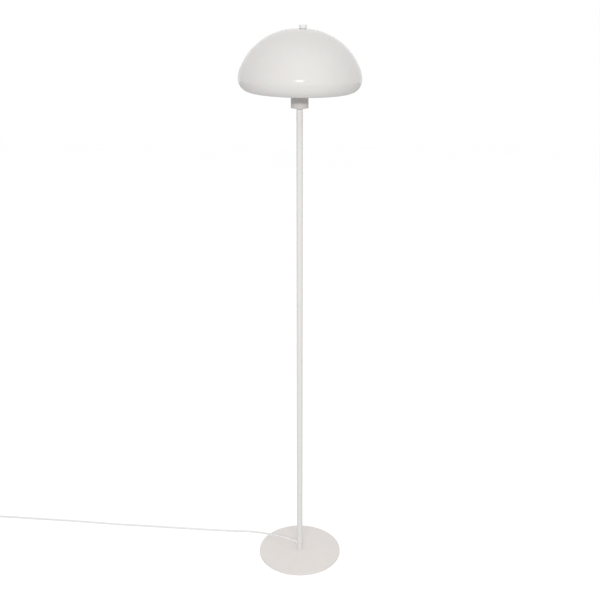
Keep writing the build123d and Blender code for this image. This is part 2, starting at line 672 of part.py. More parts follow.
def dome_line(inset):
    """The dome's outline from the edge of its flat to the end of its lip, moved inwards by inset."""
    centres = dome_centres()
    crown_start = degrees(acos((-inset - centres[0][1]) / (CROWN_RADIUS - inset)))
    arcs = [
        (centres[0], CROWN_RADIUS, crown_start, CROWN_END),
        (centres[1], SHOULDER_RADIUS, CROWN_END, SHOULDER_END),
        (centres[2], FLANK_RADIUS, SHOULDER_END, FLANK_END),
        (centres[3], RIM_RADIUS, FLANK_END, RIM_END),
    ]
    line = []
    for (r, z), radius, start, end in arcs:
        angles = [radians(start), radians((start + end) / 2), radians(end)]
        reach = radius - inset
        line.append(ThreePointArc(*[(r + reach * sin(a), 0, z + reach * cos(a)) for a in angles]))
    return line


def make_shade():
    """The dome, turned about its own middle, which stands beside the post."""
    outer = dome_line(0)
    inner = dome_line(SHADE_WALL)
    lip_start = outer[-1] @ 1
    lip_end = inner[-1] @ 1
    lip_middle = (lip_start + lip_end) * 0.5 + (outer[-1] % 1) * (SHADE_WALL / 2)
    outer_start = outer[0] @ 0
    inner_start = inner[0] @ 0
    edges = outer + inner + [
        ThreePointArc(lip_start, lip_middle, lip_end),
        Line((0, 0, 0), outer_start),
        Line((0, 0, -SHADE_WALL), inner_start),
        Line((0, 0, 0), (0, 0, -SHADE_WALL)),
    ]
    dome = revolve(make_face(edges), Axis.Z)
    dome = Pos(-HOLE_BESIDE_MIDDLE, 0, 0) * dome
    return HEAD * (dome - disc(CROWN_HOLE_DIAMETER, -2 * SHADE_WALL, SHADE_WALL))


def make_finial_washer():
    return HEAD * disc(FINIAL_WASHER_DIAMETER, SEAT_GAP, FINIAL_BOTTOM, POST_HOLE)


def make_finial():
    top = FINIAL_BOTTOM + FINIAL_HEIGHT
    knob = disc(FINIAL_DIAMETER, FINIAL_BOTTOM, top)
    knob = fillet(knob.edges().sort_by(Axis.Z)[-1], FINIAL_EDGE_ROUND)
    return HEAD * (knob - disc(POST_HOLE, FINIAL_BOTTOM - 1, POST_REACH + MOVING_GAP))


# Bulb ------------------------------------------------------------------------------------------------

BULB_INSULATOR_BOTTOM = BULB_BOTTOM + BULB_CONTACT_HEIGHT
BULB_CAP_BOTTOM = BULB_INSULATOR_BOTTOM + BULB_INSULATOR_HEIGHT
BULB_CAP_TOP = BULB_BOTTOM + BULB_CAP_HEIGHT
BULB_BODY_TOP = BULB_CAP_TOP + BULB_BODY_HEIGHT
BULB_TOP = BULB_BOTTOM + BULB_LENGTH
BULB_GLOBE_CENTRE = BULB_TOP - BULB_GLOBE_DIAMETER / 2


def globe_radius(height, inset=0.0):
    """Radius of the bulb's globe at a height."""
    radius = BULB_GLOBE_DIAMETER / 2 - inset
    return (radius**2 - (height - BULB_GLOBE_CENTRE) ** 2) ** 0.5


def make_bulb_contact():
    contact = disc(BULB_CONTACT_DIAMETER, BULB_BOTTOM, BULB_INSULATOR_BOTTOM)
    return fillet(contact.edges().sort_by(Axis.Z)[0], BULB_CONTACT_HEIGHT / 2)


def make_bulb_insulator():
    bottom_diameter = BULB_CONTACT_DIAMETER + BULB_INSULATOR_MARGIN
    return cone(bottom_diameter, BULB_INSULATOR_TOP_DIAMETER, BULB_INSULATOR_BOTTOM, BULB_CAP_BOTTOM)


def make_bulb_cap():
    bore = BULB_CAP_DIAMETER - 2 * BULB_CAP_WALL
    cap = disc(BULB_CAP_DIAMETER, BULB_CAP_BOTTOM, BULB_CAP_TOP)
    cap = chamfer(cap.edges().sort_by(Axis.Z)[0], BULB_CAP_BEVEL)
    hollow = disc(bore, BULB_CAP_BOTTOM + BULB_CAP_WALL, BULB_CAP_TOP + 1)
    return cap - chamfer(hollow.edges().sort_by(Axis.Z)[0], BULB_CAP_BEVEL)


def bulb_body_side(inset):
    """The body's side from its neck up to the globe, moved inwards by inset."""
    neck = BULB_NECK_DIAMETER / 2 - inset
    top = globe_radius(BULB_BODY_TOP) - inset
    flare = neck + (top - neck) * BULB_FLARE_SHARE
    return [
        (neck, BULB_CAP_TOP + BULB_NECK_HEIGHT),
        (flare, BULB_CAP_TOP + BULB_FLARE_HEIGHT),
        (top, BULB_BODY_TOP),
    ]


def make_bulb_body():
    """A hollow flared body on the cap."""
    low, middle, high = bulb_body_side(0)
    low_in, middle_in, high_in = bulb_body_side(BULB_BODY_WALL)
    floor = BULB_CAP_TOP + BULB_BODY_WALL
    board_seat = BULB_BODY_TOP - BULB_BOARD_THICKNESS - FIT_GAP
    board_radius = high[0] - BULB_BOARD_RIM + FIT_GAP
    outline = [
        Line((0, 0, BULB_CAP_TOP), (low[0], 0, BULB_CAP_TOP)),
        Line((low[0], 0, BULB_CAP_TOP), (low[0], 0, low[1])),
        ThreePointArc(*[(r, 0, z) for r, z in (low, middle, high)]),
        Line((high[0], 0, high[1]), (0, 0, high[1])),
        Line((0, 0, high[1]), (0, 0, BULB_CAP_TOP)),
    ]
    body = revolve(make_face(outline), Axis.Z)
    hollow_outline = [
        Line((0, 0, floor), (low_in[0], 0, floor)),
        Line((low_in[0], 0, floor), (low_in[0], 0, low_in[1])),
        ThreePointArc(*[(r, 0, z) for r, z in (low_in, middle_in, high_in)]),
        Line((high_in[0], 0, high_in[1]), (0, 0, high_in[1])),
        Line((0, 0, high_in[1]), (0, 0, floor)),
    ]
    hollow = revolve(make_face(hollow_outline), Axis.Z)
    hollow &= disc(BULB_GLOBE_DIAMETER, floor - 1, board_seat - BULB_BODY_WALL)
    well = disc(2 * (board_radius - BULB_BODY_WALL), board_seat - 2 * BULB_BODY_WALL, board_seat + 1)
    return body - hollow - well - disc(2 * board_radius, board_seat, BULB_BODY_TOP + 1)


def make_bulb_board():
    radius = globe_radius(BULB_BODY_TOP) - BULB_BOARD_RIM
    return disc(2 * radius, BULB_BODY_TOP - BULB_BOARD_THICKNESS, BULB_BODY_TOP)


def make_bulb_driver():
    """A small circuit board on edge, with a can capacitor on it."""
    bottom = BULB_CAP_TOP + BULB_BODY_WALL
    board = Pos(0, 0, bottom) * Box(DRIVER_WIDTH, DRIVER_THICKNESS, DRIVER_HEIGHT, align=STANDING)
    capacitor_bottom = bottom + CAPACITOR_RISE
    capacitor = disc(CAPACITOR_DIAMETER, capacitor_bottom, capacitor_bottom + CAPACITOR_HEIGHT)
    capacitor_y = (DRIVER_THICKNESS + CAPACITOR_DIAMETER) / 2 - CAPACITOR_LET_IN
    return board + Pos(0, capacitor_y, 0) * capacitor


def make_bulb_dome():
    """The thin globe that stands on the body."""
    outer = Pos(0, 0, BULB_GLOBE_CENTRE) * Sphere(BULB_GLOBE_DIAMETER / 2)
    inner = Pos(0, 0, BULB_GLOBE_CENTRE) * Sphere(BULB_GLOBE_DIAMETER / 2 - BULB_DOME_WALL)
    keep = disc(2 * BULB_GLOBE_DIAMETER, BULB_BODY_TOP, BULB_TOP + 1)
    return (outer - inner) & keep


# Foot switch -----------------------------------------------------------------------------------------

def rounded_block(length, width, corner, bottom, top):
    """An upright block with rounded corners."""
    return Pos(0, 0, bottom) * extrude(RectangleRounded(length, width, corner), top - bottom)


def switch_inside(bottom, top):
    """The room inside the case's walls, between two heights."""
    length = SWITCH_LENGTH - 2 * SWITCH_WALL
    width = SWITCH_WIDTH - 2 * SWITCH_WALL
    return rounded_block(length, width, SWITCH_CORNER - SWITCH_WALL, bottom, top)


def switch_screw_places():
    """The two screws stand at opposite corners of the case."""
    return [Pos(side * SWITCH_SCREW_X, side * SWITCH_SCREW_Y, 0) for side in (-1, 1)]


def at_switch(shape):
    return Pos(SWITCH_X, SWITCH_Y, 0) * shape


def make_switch_base():
    base = rounded_block(SWITCH_LENGTH, SWITCH_WIDTH, SWITCH_CORNER, 0, SWITCH_BASE_HEIGHT)
    base -= switch_inside(SWITCH_WALL, SWITCH_BASE_HEIGHT + 1)
    for place in switch_screw_places():
        base += place * disc(SWITCH_BOSS_DIAMETER, 0, SWITCH_BASE_HEIGHT)
        base -= place * disc(SWITCH_SCREW_DIAMETER + 2 * FIT_GAP, -1, SWITCH_BASE_HEIGHT + 1)
        base -= place * disc(SWITCH_SCREW_HEAD + 2 * SWITCH_SCREW_HEAD_PLAY, -1, SWITCH_SCREW_SEAT)
    for side in (-1, 1):
        wall_x = side * (SWITCH_LENGTH / 2 - SWITCH_WALL)
        outward = Plane(origin=(wall_x, 0, SWITCH_LEAD_HEIGHT), z_dir=(side, 0, 0))
        root = SWITCH_NUB_ROOT_DIAMETER / 2
        tip = SWITCH_NUB_TIP_DIAMETER / 2
        length = SWITCH_NUB_LENGTH + SWITCH_WALL
        nub = Cone(root, tip, length, align=STANDING)
        room = rounded_block(2 * SWITCH_LENGTH, SWITCH_WIDTH, SWITCH_NUB_CORNER, 0, SWITCH_BASE_HEIGHT)
        base += outward.location * nub & room
    return at_switch(base)


def long_round(extra, bottom, top):
    """The outline of the button, wider all round by extra, between two heights."""
    width = BUTTON_WIDTH + 2 * extra
    return rounded_block(BUTTON_LENGTH + 2 * extra, width, (width - BUTTON_END_FLAT) / 2, bottom, top)


def make_switch_cover():
    cover = rounded_block(SWITCH_LENGTH, SWITCH_WIDTH, SWITCH_CORNER, SWITCH_BASE_HEIGHT, SWITCH_TOP)
    cover = fillet(cover.faces().sort_by(Axis.Z)[-1].edges(), SWITCH_WALL)
    cover -= switch_inside(SWITCH_BASE_HEIGHT - 1, SWITCH_CEILING)
    cover -= long_round(MOVING_GAP, SWITCH_BASE_HEIGHT, SWITCH_TOP + 1)
    for place in switch_screw_places():
        cover += place * disc(SWITCH_BOSS_DIAMETER, SWITCH_BASE_HEIGHT, SWITCH_CEILING)
        hole_end = SWITCH_CEILING - SWITCH_SCREW_ROOF
        cover -= place * disc(SWITCH_SCREW_DIAMETER + 2 * FIT_GAP, SWITCH_BASE_HEIGHT - 1, hole_end)
    return at_switch(cover)


def make_switch_button():
    """A long push button with a flange that stays under the cover."""
    button = long_round(0, BUTTON_UNDERSIDE, BUTTON_TOP)
    button = fillet(button.faces().sort_by(Axis.Z)[-1].edges(), BUTTON_ROUND)
    return at_switch(button + long_round(BUTTON_FLANGE, BUTTON_UNDERSIDE, BUTTON_FLANGE_TOP))


def make_button_spring():
    """A coil spring between the floor of the case and the button."""
    bottom = SPRING_FLOOR + SPRING_WIRE / 2 + FIT_GAP
    top = BUTTON_UNDERSIDE - SPRING_WIRE / 2 - SEAT_GAP
    radius = SPRING_DIAMETER / 2
    height = top - bottom
    line = Helix(pitch=height / SPRING_TURNS, height=height, radius=radius)
    section = Plane(origin=line @ 0, z_dir=line % 0) * Circle(SPRING_WIRE / 2)
    return at_switch(Pos(0, 0, bottom) * sweep(section, path=line, is_frenet=True))


def make_switch_terminals():
    """Two brass terminal blocks on the floor of the case, either side of the spring."""
    block = Box(SWITCH_TERMINAL_LENGTH, SWITCH_TERMINAL_SIZE, SWITCH_TERMINAL_SIZE, align=STANDING)
    places = [Pos(side * SWITCH_TERMINAL_X, SWITCH_TERMINAL_Y, SWITCH_WALL) for side in (-1, 1)]
    return Compound([at_switch(place * block) for place in places])


def make_switch_screws():
    head_bottom = SWITCH_SCREW_SEAT - SWITCH_SCREW_HEAD_THICKNESS
    tip = SWITCH_CEILING - SWITCH_SCREW_ROOF - SWITCH_SCREW_CLEAR
    head = disc(SWITCH_SCREW_HEAD, head_bottom, SWITCH_SCREW_SEAT)
    screw = head + disc(SWITCH_SCREW_DIAMETER, head_bottom, tip)
    return Compound([at_switch(place * screw) for place in switch_screw_places()])


def make_switch_wires():
    """Inside the case: one core runs straight through, the other is cut and ends in the two terminals."""
    wall = SWITCH_LENGTH / 2 - SWITCH_WALL
    spacing = CORE_WIRE_SPACING / 2
    height = SWITCH_LEAD_HEIGHT
    beside_spring = SPRING_DIAMETER / 2 + 2 * CORE_WIRE_DIAMETER
    terminal_face = SWITCH_TERMINAL_X + SWITCH_TERMINAL_LENGTH / 2
    through = [
        (-wall, spacing, height),
        (-wall + SWITCH_WIRE_STRAIGHT, spacing, height),
        (-SPRING_DIAMETER, beside_spring, height),
        (SPRING_DIAMETER, beside_spring, height),
        (wall - SWITCH_WIRE_STRAIGHT, spacing, height),
        (wall, spacing, height),
    ]
    routes = [through]
    for side in (-1, 1):
        routes.append([
            (side * wall, -spacing, height),
            (side * (terminal_face + SWITCH_WIRE_BEND_START), -spacing, height),
            (side * (terminal_face + SWITCH_WIRE_BEND_END), SWITCH_TERMINAL_Y, height),
            (side * terminal_face, SWITCH_TERMINAL_Y, height),
        ])
    wires = []
    for route in routes:
        radii = [min(radius, SWITCH_WIRE_BEND) for radius in corner_radii(route)]
        wire = tube_along(FilletPolyline(*route, radius=radii), CORE_WIRE_DIAMETER)
        wires.append(at_switch(wire))
    return Compound(wires)


# Put-away length -------------------------------------------------------------------------------------

def coil_route():
    """Half turns of the coil, each as (start, middle, end): in on the floor, up a layer, and out again.
    The lead comes in towards -X and goes out towards +X, and the turns run clockwise from above."""
    start = Vector(*TAIL_POINTS[-1])
    here = start - Vector(LEAD_DIAMETER, 0, 0)
    shrink = COIL_PITCH / 2
    lower = [COIL_OUTER_RADIUS - number * shrink for number in range(COIL_HALF_TURNS)]
    climb = COIL_OUTER_RADIUS - COIL_HALF_TURNS * shrink
    route = []
    side = -1
    for radius, rise in [(r, 0) for r in lower] + [(climb, COIL_PITCH)] + [(r, 0) for r in lower[::-1]]:
        across = Vector(0, -side * 2 * radius, rise)
        end = here + across
        middle = here + across * 0.5 + Vector(side * across.length / 2, 0, 0)
        route.append((here, middle, end))
        here = end
        side = -side
    return start, route, here


def least_gap(points, skip):
    """The least distance between two points of the coil's middle line that aren't neighbours along it."""
    nearest = min(
        dist(points[a], points[b])
        for a in range(len(points))
        for b in range(a + skip, len(points))
    )
    return nearest - LEAD_DIAMETER


def make_cord_coil():
    """The put-away length: two layers of turns, one unbroken lead."""
    start, route, last = coil_route()
    straight_in = Line(start, route[0][0])
    straight_out = Line(last, last + Vector(LEAD_DIAMETER, 0, 0))
    halves = [ThreePointArc(*half) for half in route]
    path = Wire([straight_in.edge()] + [half.edge() for half in halves] + [straight_out.edge()])
    coil = tube_along(path, LEAD_DIAMETER)
    steps = 24
    points = [tuple(half @ (step / steps)) for half in halves for step in range(steps)]
    print(f"cord_coil: length {path.length:.1f}, least gap between turns {least_gap(points, steps):.2f}, "
          f"volume {coil.volume / (pi * LEAD_RADIUS**2 * path.length):.5f}")
    return coil


# Plug ------------------------------------------------------------------------------------------------

COIL_END = coil_route()[-1] + Vector(LEAD_DIAMETER, 0, 0)
END_POINTS = [(COIL_END.X + step, COIL_END.Y, height) for step, height in END_STEPS]
PLUG_TAIL = END_POINTS[-1]
PLUG_BACK_X = PLUG_TAIL[0] + PLUG_RELIEF_LENGTH
PLUG_FACE_X = PLUG_BACK_X + PLUG_LENGTH


def plug_section(x, width, thickness, corner):
    plane = Plane(origin=(x, PLUG_TAIL[1], PLUG_TAIL[2]), x_dir=(0, 1, 0), z_dir=(1, 0, 0))
    return plane * RectangleRounded(width, thickness, corner)


def pin_places():
    """Planes at the roots of the two pins, on the plug's face."""
    places = []
    for side in (-1, 1):
        origin = (PLUG_FACE_X, PLUG_TAIL[1] + side * PIN_SPACING / 2, PLUG_TAIL[2])
        places.append(Plane(origin=origin, z_dir=(1, 0, 0)).location)
    return places


def make_plug_body():
    """A flat moulded body that narrows towards the lead, with a tapered strain relief."""
    waist_x = PLUG_FACE_X - PLUG_FRONT_LENGTH
    front = extrude(plug_section(waist_x, PLUG_WIDTH, PLUG_THICKNESS, PLUG_CORNER), PLUG_FACE_X - waist_x)
    back = loft([
        plug_section(PLUG_BACK_X, PLUG_BACK_WIDTH, PLUG_BACK_THICKNESS, PLUG_CORNER),
        plug_section(waist_x, PLUG_WIDTH, PLUG_THICKNESS, PLUG_CORNER),
    ], ruled=True)
    tail_plane = Plane(origin=PLUG_TAIL, z_dir=(1, 0, 0))
    tip = PLUG_RELIEF_TIP_DIAMETER / 2
    root = PLUG_RELIEF_ROOT_DIAMETER / 2
    tail = Cone(tip, root, PLUG_RELIEF_LENGTH + 1, align=STANDING)
    body = front + back + tail_plane.location * tail
    for place in pin_places():
        depth = PIN_ROOT_LENGTH + FIT_GAP
        socket = Cylinder(PIN_ROOT_DIAMETER / 2 + FIT_GAP, depth, align=HANGING)
        body -= place * socket
    return body


def make_plug_pins():
    pins = []
    for place in pin_places():
        pin = Cylinder(PIN_DIAMETER / 2, PIN_LENGTH, align=STANDING)
        pin = chamfer(pin.edges().sort_by(Axis.Z)[-1], PIN_TIP_CHAMFER)
        pin += Cylinder(PIN_ROOT_DIAMETER / 2, PIN_ROOT_LENGTH, align=HANGING)
        pins.append(place * pin)
    return Compound(pins)


# Every piece -----------------------------------------------------------------------------------------

FIRST_SEAM = BASE_TOP + POLE_SECTION_LENGTH
SECOND_SEAM = BASE_TOP + 2 * POLE_SECTION_LENGTH

save("floor_pad", make_floor_pad())
save("base_plate", make_base_plate())
save("base_screw", make_base_screw())
save("foot_insert", make_foot_insert())
for number, name in enumerate(("pole_lower", "pole_middle", "pole_upper")):
    save(name, make_pole_section(number))
save("lower_joint_insert", make_insert(FIRST_SEAM, upwards=False))
save("middle_foot_insert", make_insert(FIRST_SEAM, upwards=True))
save("middle_top_insert", make_insert(SECOND_SEAM, upwards=False))
save("upper_foot_insert", make_insert(SECOND_SEAM, upwards=True))
save("head_insert", make_insert(POLE_TOP, upwards=False))
save("lower_joint_nipple", make_joint_nipple(FIRST_SEAM))
save("upper_joint_nipple", make_joint_nipple(SECOND_SEAM))
save("head_nipple", make_head_nipple())
save("cord_relief", make_cord_relief())
save("inner_lead", make_inner_lead())
save("lead_wire_live", make_lead_wire(1))
save("lead_wire_neutral", make_lead_wire(-1))
save("socket_cup", make_socket_cup())
save("cup_lock_nut", make_cup_lock_nut())
save("holder_cap", make_holder_cap())
save("holder_core", make_holder_core())
save("centre_contact", make_centre_contact())
save("side_contact", make_side_contact())
save("terminal_screws", make_terminal_screws())
save("holder_skirt", make_holder_skirt())
save("thread_sleeve", make_thread_sleeve())
save("shade_ring", make_shade_ring())
save("harp", make_harp())
save("seat_washer", make_seat_washer())
save("shade", make_shade())
save("finial_washer", make_finial_washer())
save("finial", make_finial())
save("bulb_contact", make_bulb_contact())
save("bulb_insulator", make_bulb_insulator())
save("bulb_cap", make_bulb_cap())
save("bulb_body", make_bulb_body())
save("bulb_driver", make_bulb_driver())
save("bulb_board", make_bulb_board())
save("bulb_dome", make_bulb_dome())
save("cord_run", lead_along("cord_run", RUN_POINTS))
save("switch_base", make_switch_base())
save("switch_cover", make_switch_cover())
save("switch_button", make_switch_button())
save("button_spring", make_button_spring())
save("switch_terminals", make_switch_terminals())
save("switch_screws", make_switch_screws())
save("switch_wires", make_switch_wires())
save("cord_tail", lead_along("cord_tail", TAIL_POINTS))
save("cord_coil", make_cord_coil())
save("cord_end", lead_along("cord_end", END_POINTS))
save("plug_body", make_plug_body())
save("plug_pins", make_plug_pins())
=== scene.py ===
from math import asin, cos, pi, radians, sin, sqrt

import bmesh
import bpy
from mathutils import Matrix, Vector


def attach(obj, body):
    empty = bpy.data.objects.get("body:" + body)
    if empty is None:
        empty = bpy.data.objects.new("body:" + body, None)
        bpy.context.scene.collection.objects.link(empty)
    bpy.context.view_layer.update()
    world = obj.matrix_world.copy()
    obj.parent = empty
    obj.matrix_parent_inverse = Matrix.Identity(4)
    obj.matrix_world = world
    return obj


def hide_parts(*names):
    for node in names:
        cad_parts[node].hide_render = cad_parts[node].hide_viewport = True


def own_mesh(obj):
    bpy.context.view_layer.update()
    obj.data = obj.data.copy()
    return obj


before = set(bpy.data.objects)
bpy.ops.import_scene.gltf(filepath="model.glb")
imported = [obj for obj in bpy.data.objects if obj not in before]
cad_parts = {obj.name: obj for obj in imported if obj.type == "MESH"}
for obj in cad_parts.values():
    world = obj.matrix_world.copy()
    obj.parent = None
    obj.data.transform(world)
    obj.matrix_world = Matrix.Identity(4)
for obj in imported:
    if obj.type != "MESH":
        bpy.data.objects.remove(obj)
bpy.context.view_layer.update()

scene = bpy.context.scene


# Camera ----------------------------------------------------------------------------------------------
# It stands two metres and a little in front of the lamp, somewhat above the shade, and looks down by
# twenty degrees, so that the whole lamp fills the height of the square picture.

PICTURE_PIXELS = 600
FOCAL_PIXELS = 870.0
SENSOR_WIDTH = 36.0
CAMERA_PLACE = (0.00088, -2.1903, 1.5937)
CAMERA_DIP = 19.992             # degrees below level

camera_data = bpy.data.cameras.new("camera")
camera_data.sensor_width = SENSOR_WIDTH
camera_data.lens = FOCAL_PIXELS / PICTURE_PIXELS * SENSOR_WIDTH
camera_data.clip_end = 60.0
camera = bpy.data.objects.new("camera", camera_data)
camera.location = CAMERA_PLACE
camera.rotation_euler = (radians(90 - CAMERA_DIP), 0, 0)
scene.collection.objects.link(camera)
scene.camera = camera
scene.view_settings.view_transform = "Standard"


# Lead on the floor -----------------------------------------------------------------------------------
# A round two-core lead, 5 mm thick, in soft white PVC. It is extruded, so it is smooth and a little
# glossy, with a faint long wave in its surface where it was wound on its drum.

LEAD_WIDTH = 0.005
LEAD_REST = LEAD_WIDTH / 2      # the lead's middle, where it lies on the floor
SWITCH_Y = 0.174
NUB_HEIGHT = 0.006              # the lead's middle, where the switch's tapered ends hold it


def linear(hex_text):
    """An sRGB colour such as E4DFDA as linear values."""
    parts = [int(hex_text[start:start + 2], 16) / 255 for start in (0, 2, 4)]
    light = [part / 12.92 if part <= 0.04045 else ((part + 0.055) / 1.055) ** 2.4 for part in parts]
    return (*light, 1.0)


def repeats(millimetres):
    """A pattern's scale, in repeats to the metre, from the real size of one repeat."""
    return 1000 / millimetres


def add_node(tree, kind, fields={}, values={}, links={}):
    """Adds one node: fields are its settings, values its socket values, links its sockets' sources."""
    made = tree.nodes.new(kind)
    for name, value in fields.items():
        setattr(made, name, value)
    for name, value in values.items():
        made.inputs[name].default_value = value
    for name, source in links.items():
        tree.links.new(source, made.inputs[name])
    return made


def start_finish(name, values):
    """A new material with its shader's steady values; gives it, its tree, its shader and its place."""
    material = bpy.data.materials.new(name)
    material.use_nodes = True
    tree = material.node_tree
    shader = tree.nodes["Principled BSDF"]
    for socket, value in values.items():
        shader.inputs[socket].default_value = value
    place = add_node(tree, "ShaderNodeTexCoord").outputs["Object"]
    return material, tree, shader, place


def finish_surface(tree, shader, tones=None, gloss=None, relief=None):
    """Lets patterns drive a surface: tones are (pattern, dark, light), gloss is (pattern, least and most
    roughness), and relief is (pattern, depth in metres, strength)."""
    if tones:
        pattern, dark, light = tones
        tint = add_node(
            tree, "ShaderNodeMix", {"data_type": "RGBA"}, {6: linear(dark), 7: linear(light)},
            {0: pattern},
        )
        tree.links.new(tint.outputs[2], shader.inputs["Base Color"])
    if gloss:
        pattern, low, high = gloss
        spread = add_node(
            tree, "ShaderNodeMapRange", {}, {"To Min": low, "To Max": high}, {"Value": pattern}
        )
        tree.links.new(spread.outputs["Result"], shader.inputs["Roughness"])
    if relief:
        pattern, depth, strength = relief
        bump = add_node(
            tree, "ShaderNodeBump", {}, {"Strength": strength, "Distance": depth}, {"Height": pattern}
        )
        tree.links.new(bump.outputs["Normal"], shader.inputs["Normal"])


# Extruded soft PVC: a faint sheen, nearly even in colour, with a fine drag from the extruder's die. The
# drag is really about 0.2 mm wide, and is drawn at 1.1 mm so that it shows.
lead_pvc, tree, shader, place = start_finish("white_pvc_lead", {"IOR": 1.53})
wave = add_node(tree, "ShaderNodeTexNoise", {}, {"Scale": repeats(22), "Detail": 3.0}, {"Vector": place})
drag = add_node(tree, "ShaderNodeTexNoise", {}, {"Scale": repeats(1.1), "Detail": 2.0}, {"Vector": place})
finish_surface(
    tree, shader, tones=(wave.outputs[0], "EDEDEC", "F4F4F3"),
    gloss=(drag.outputs[0], 0.34, 0.5), relief=(drag.outputs[0], 0.00006, 0.5),
)


def lead_curve(name, route):
    """The lead as one smooth spline that follows the route's points."""
    curve = bpy.data.curves.new(name, "CURVE")
    curve.dimensions = "3D"
    curve.bevel_depth = LEAD_WIDTH / 2
    curve.bevel_resolution = 7
    curve.resolution_u = 10
    curve.use_fill_caps = True
    spline = curve.splines.new("NURBS")
    spline.points.add(len(route) - 1)
    for spot, where in zip(spline.points, route):
        spot.co = (*where, 1.0)
    spline.order_u = 3
    spline.use_endpoint_u = True
    curve.materials.append(lead_pvc)
    piece = bpy.data.objects.new(name, curve)
    scene.collection.objects.link(piece)
    return piece


run_route = [
    (-0.027713, 0.016, 0.028),
    (-0.039837, 0.023, 0.028),
    (-0.0553, 0.0322, 0.026),
    (-0.0722, 0.0429, 0.0223),
    (-0.0887, 0.0543, 0.018),
    (-0.1052, 0.0657, 0.0136),
    (-0.1207, 0.0766, 0.0089),
    (-0.1348, 0.0862, 0.0046),
    (-0.150, 0.0922, LEAD_REST),
    (-0.170, 0.0938, LEAD_REST),
    (-0.200, 0.0948, LEAD_REST),
    (-0.240, 0.0974, LEAD_REST),
    (-0.292, 0.1024, LEAD_REST),
    (-0.350, 0.1082, LEAD_REST),
    (-0.412, 0.1145, LEAD_REST),
    (-0.480, 0.1218, LEAD_REST),
    (-0.545, 0.1277, LEAD_REST),
    (-0.612, 0.1354, LEAD_REST),
    (-0.680, 0.1444, LEAD_REST),
    (-0.748, 0.1522, LEAD_REST),
    (-0.815, 0.1588, LEAD_REST),
    (-0.882, 0.1662, LEAD_REST),
    (-0.925, 0.1706, LEAD_REST),
    (-0.951, 0.1728, 0.0027),
    (-0.969, 0.1738, 0.0046),
    (-0.980, SWITCH_Y, NUB_HEIGHT),
    (-0.990, SWITCH_Y, NUB_HEIGHT),
]
lead_to_switch = lead_curve("lead_to_switch", run_route)
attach(lead_to_switch, "stand")
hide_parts("cord_run")


# Put-away lead ---------------------------------------------------------------------------------------
# Behind the foot switch the spare lead lies in a coil, four and a half turns in two layers, and comes
# out on top of it to the plug. A soft plastic tie holds the turns together.

PLUG_Y = 0.241
PLUG_HEIGHT = 0.00685
COIL_X = -1.136
COIL_RADII = (0.0335, 0.03075, 0.028, 0.02525)
CLIMB_RADIUS = 0.0225
LAYER_RISE = 0.0055
POINTS_IN_HALF_TURN = 8
SPLINE_REACH = 1.0194           # the spline lies this much inside the points of a turn

spare_route = [
    (-1.084, SWITCH_Y, NUB_HEIGHT),
    (-1.092, SWITCH_Y, NUB_HEIGHT),
    (-1.103, SWITCH_Y, 0.0046),
    (-1.115, SWITCH_Y, 0.0029),
    (-1.123, SWITCH_Y, LEAD_REST),
    (-1.131, SWITCH_Y, LEAD_REST),
]
turn_y = SWITCH_Y
turn_side = -1
height = LEAD_REST
half_turns = [(radius, 0.0) for radius in COIL_RADII] + [(CLIMB_RADIUS, LAYER_RISE)]
half_turns += [(radius, 0.0) for radius in reversed(COIL_RADII)]
for radius, rise in half_turns:
    middle_y = turn_y - turn_side * radius
    for step in range(POINTS_IN_HALF_TURN):
        share = (step + 0.5) / POINTS_IN_HALF_TURN
        reach = radius * SPLINE_REACH
        x = COIL_X + turn_side * reach * sin(pi * share)
        y = middle_y + turn_side * reach * cos(pi * share)
        spare_route.append((x, y, height + rise * share))
    turn_y -= turn_side * 2 * radius
    height += rise
    turn_side = -turn_side
spare_route += [
    (-1.131, PLUG_Y, LEAD_REST + LAYER_RISE),
    (-1.123, PLUG_Y, LEAD_REST + LAYER_RISE),
    (-1.113, PLUG_Y, 0.00755),
    (-1.103, PLUG_Y, 0.00695),
    (-1.097, PLUG_Y, PLUG_HEIGHT),
    (-1.090, PLUG_Y, PLUG_HEIGHT),
]
lead_to_plug = lead_curve("lead_to_plug", spare_route)
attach(lead_to_plug, "stand")
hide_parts("cord_tail", "cord_coil", "cord_end")


# Coil tie --------------------------------------------------------------------------------------------
# A flat plastic-covered wire, passed round the bundle of turns and twisted together on top. Its ribbon
# is thin enough to lie under the lead, and its two ends stand up a little.

TIE_WIDTH = 0.004
TIE_THICKNESS = 0.0006
TIE_AZIMUTH = radians(205)
TIE_CORNER = 0.003
BUNDLE_INNER = 0.0195
BUNDLE_OUTER = 0.0368
BUNDLE_TOP = 0.0112


def skin_mesh(name, points, faces, finish, sharp_angle=35.0):
    """A smooth-shaded mesh object from its points and faces, with creases where it turns sharply."""
    mesh = bpy.data.meshes.new(name)
    mesh.from_pydata(points, [], faces)
    mesh.validate()
    shape = bmesh.new()
    shape.from_mesh(mesh)
    bmesh.ops.recalc_face_normals(shape, faces=shape.faces)
    shape.to_mesh(mesh)
    shape.free()
    for face in mesh.polygons:
        face.use_smooth = True
    mesh.set_sharp_from_angle(angle=radians(sharp_angle))
    mesh.materials.append(finish)
    piece = bpy.data.objects.new(name, mesh)
    scene.collection.objects.link(piece)
    return piece


def loops_mesh(name, loops, finish, closed_way=False, sharp_angle=35.0):
    """A skin through loops of points, each as long as the next; open ways get a cap at both ends."""
    count = len(loops[0])
    points = [point for loop in loops for point in loop]
    faces = []
    for here in range(len(loops) if closed_way else len(loops) - 1):
        after = (here + 1) % len(loops)
        for k in range(count):
            n = (k + 1) % count
            faces.append((here * count + k, here * count + n, after * count + n, after * count + k))
    if not closed_way:
        faces.append(tuple(range(count)))
        faces.append(tuple(range((len(loops) - 1) * count, len(loops) * count)))
    return skin_mesh(name, points, faces, finish, sharp_angle)


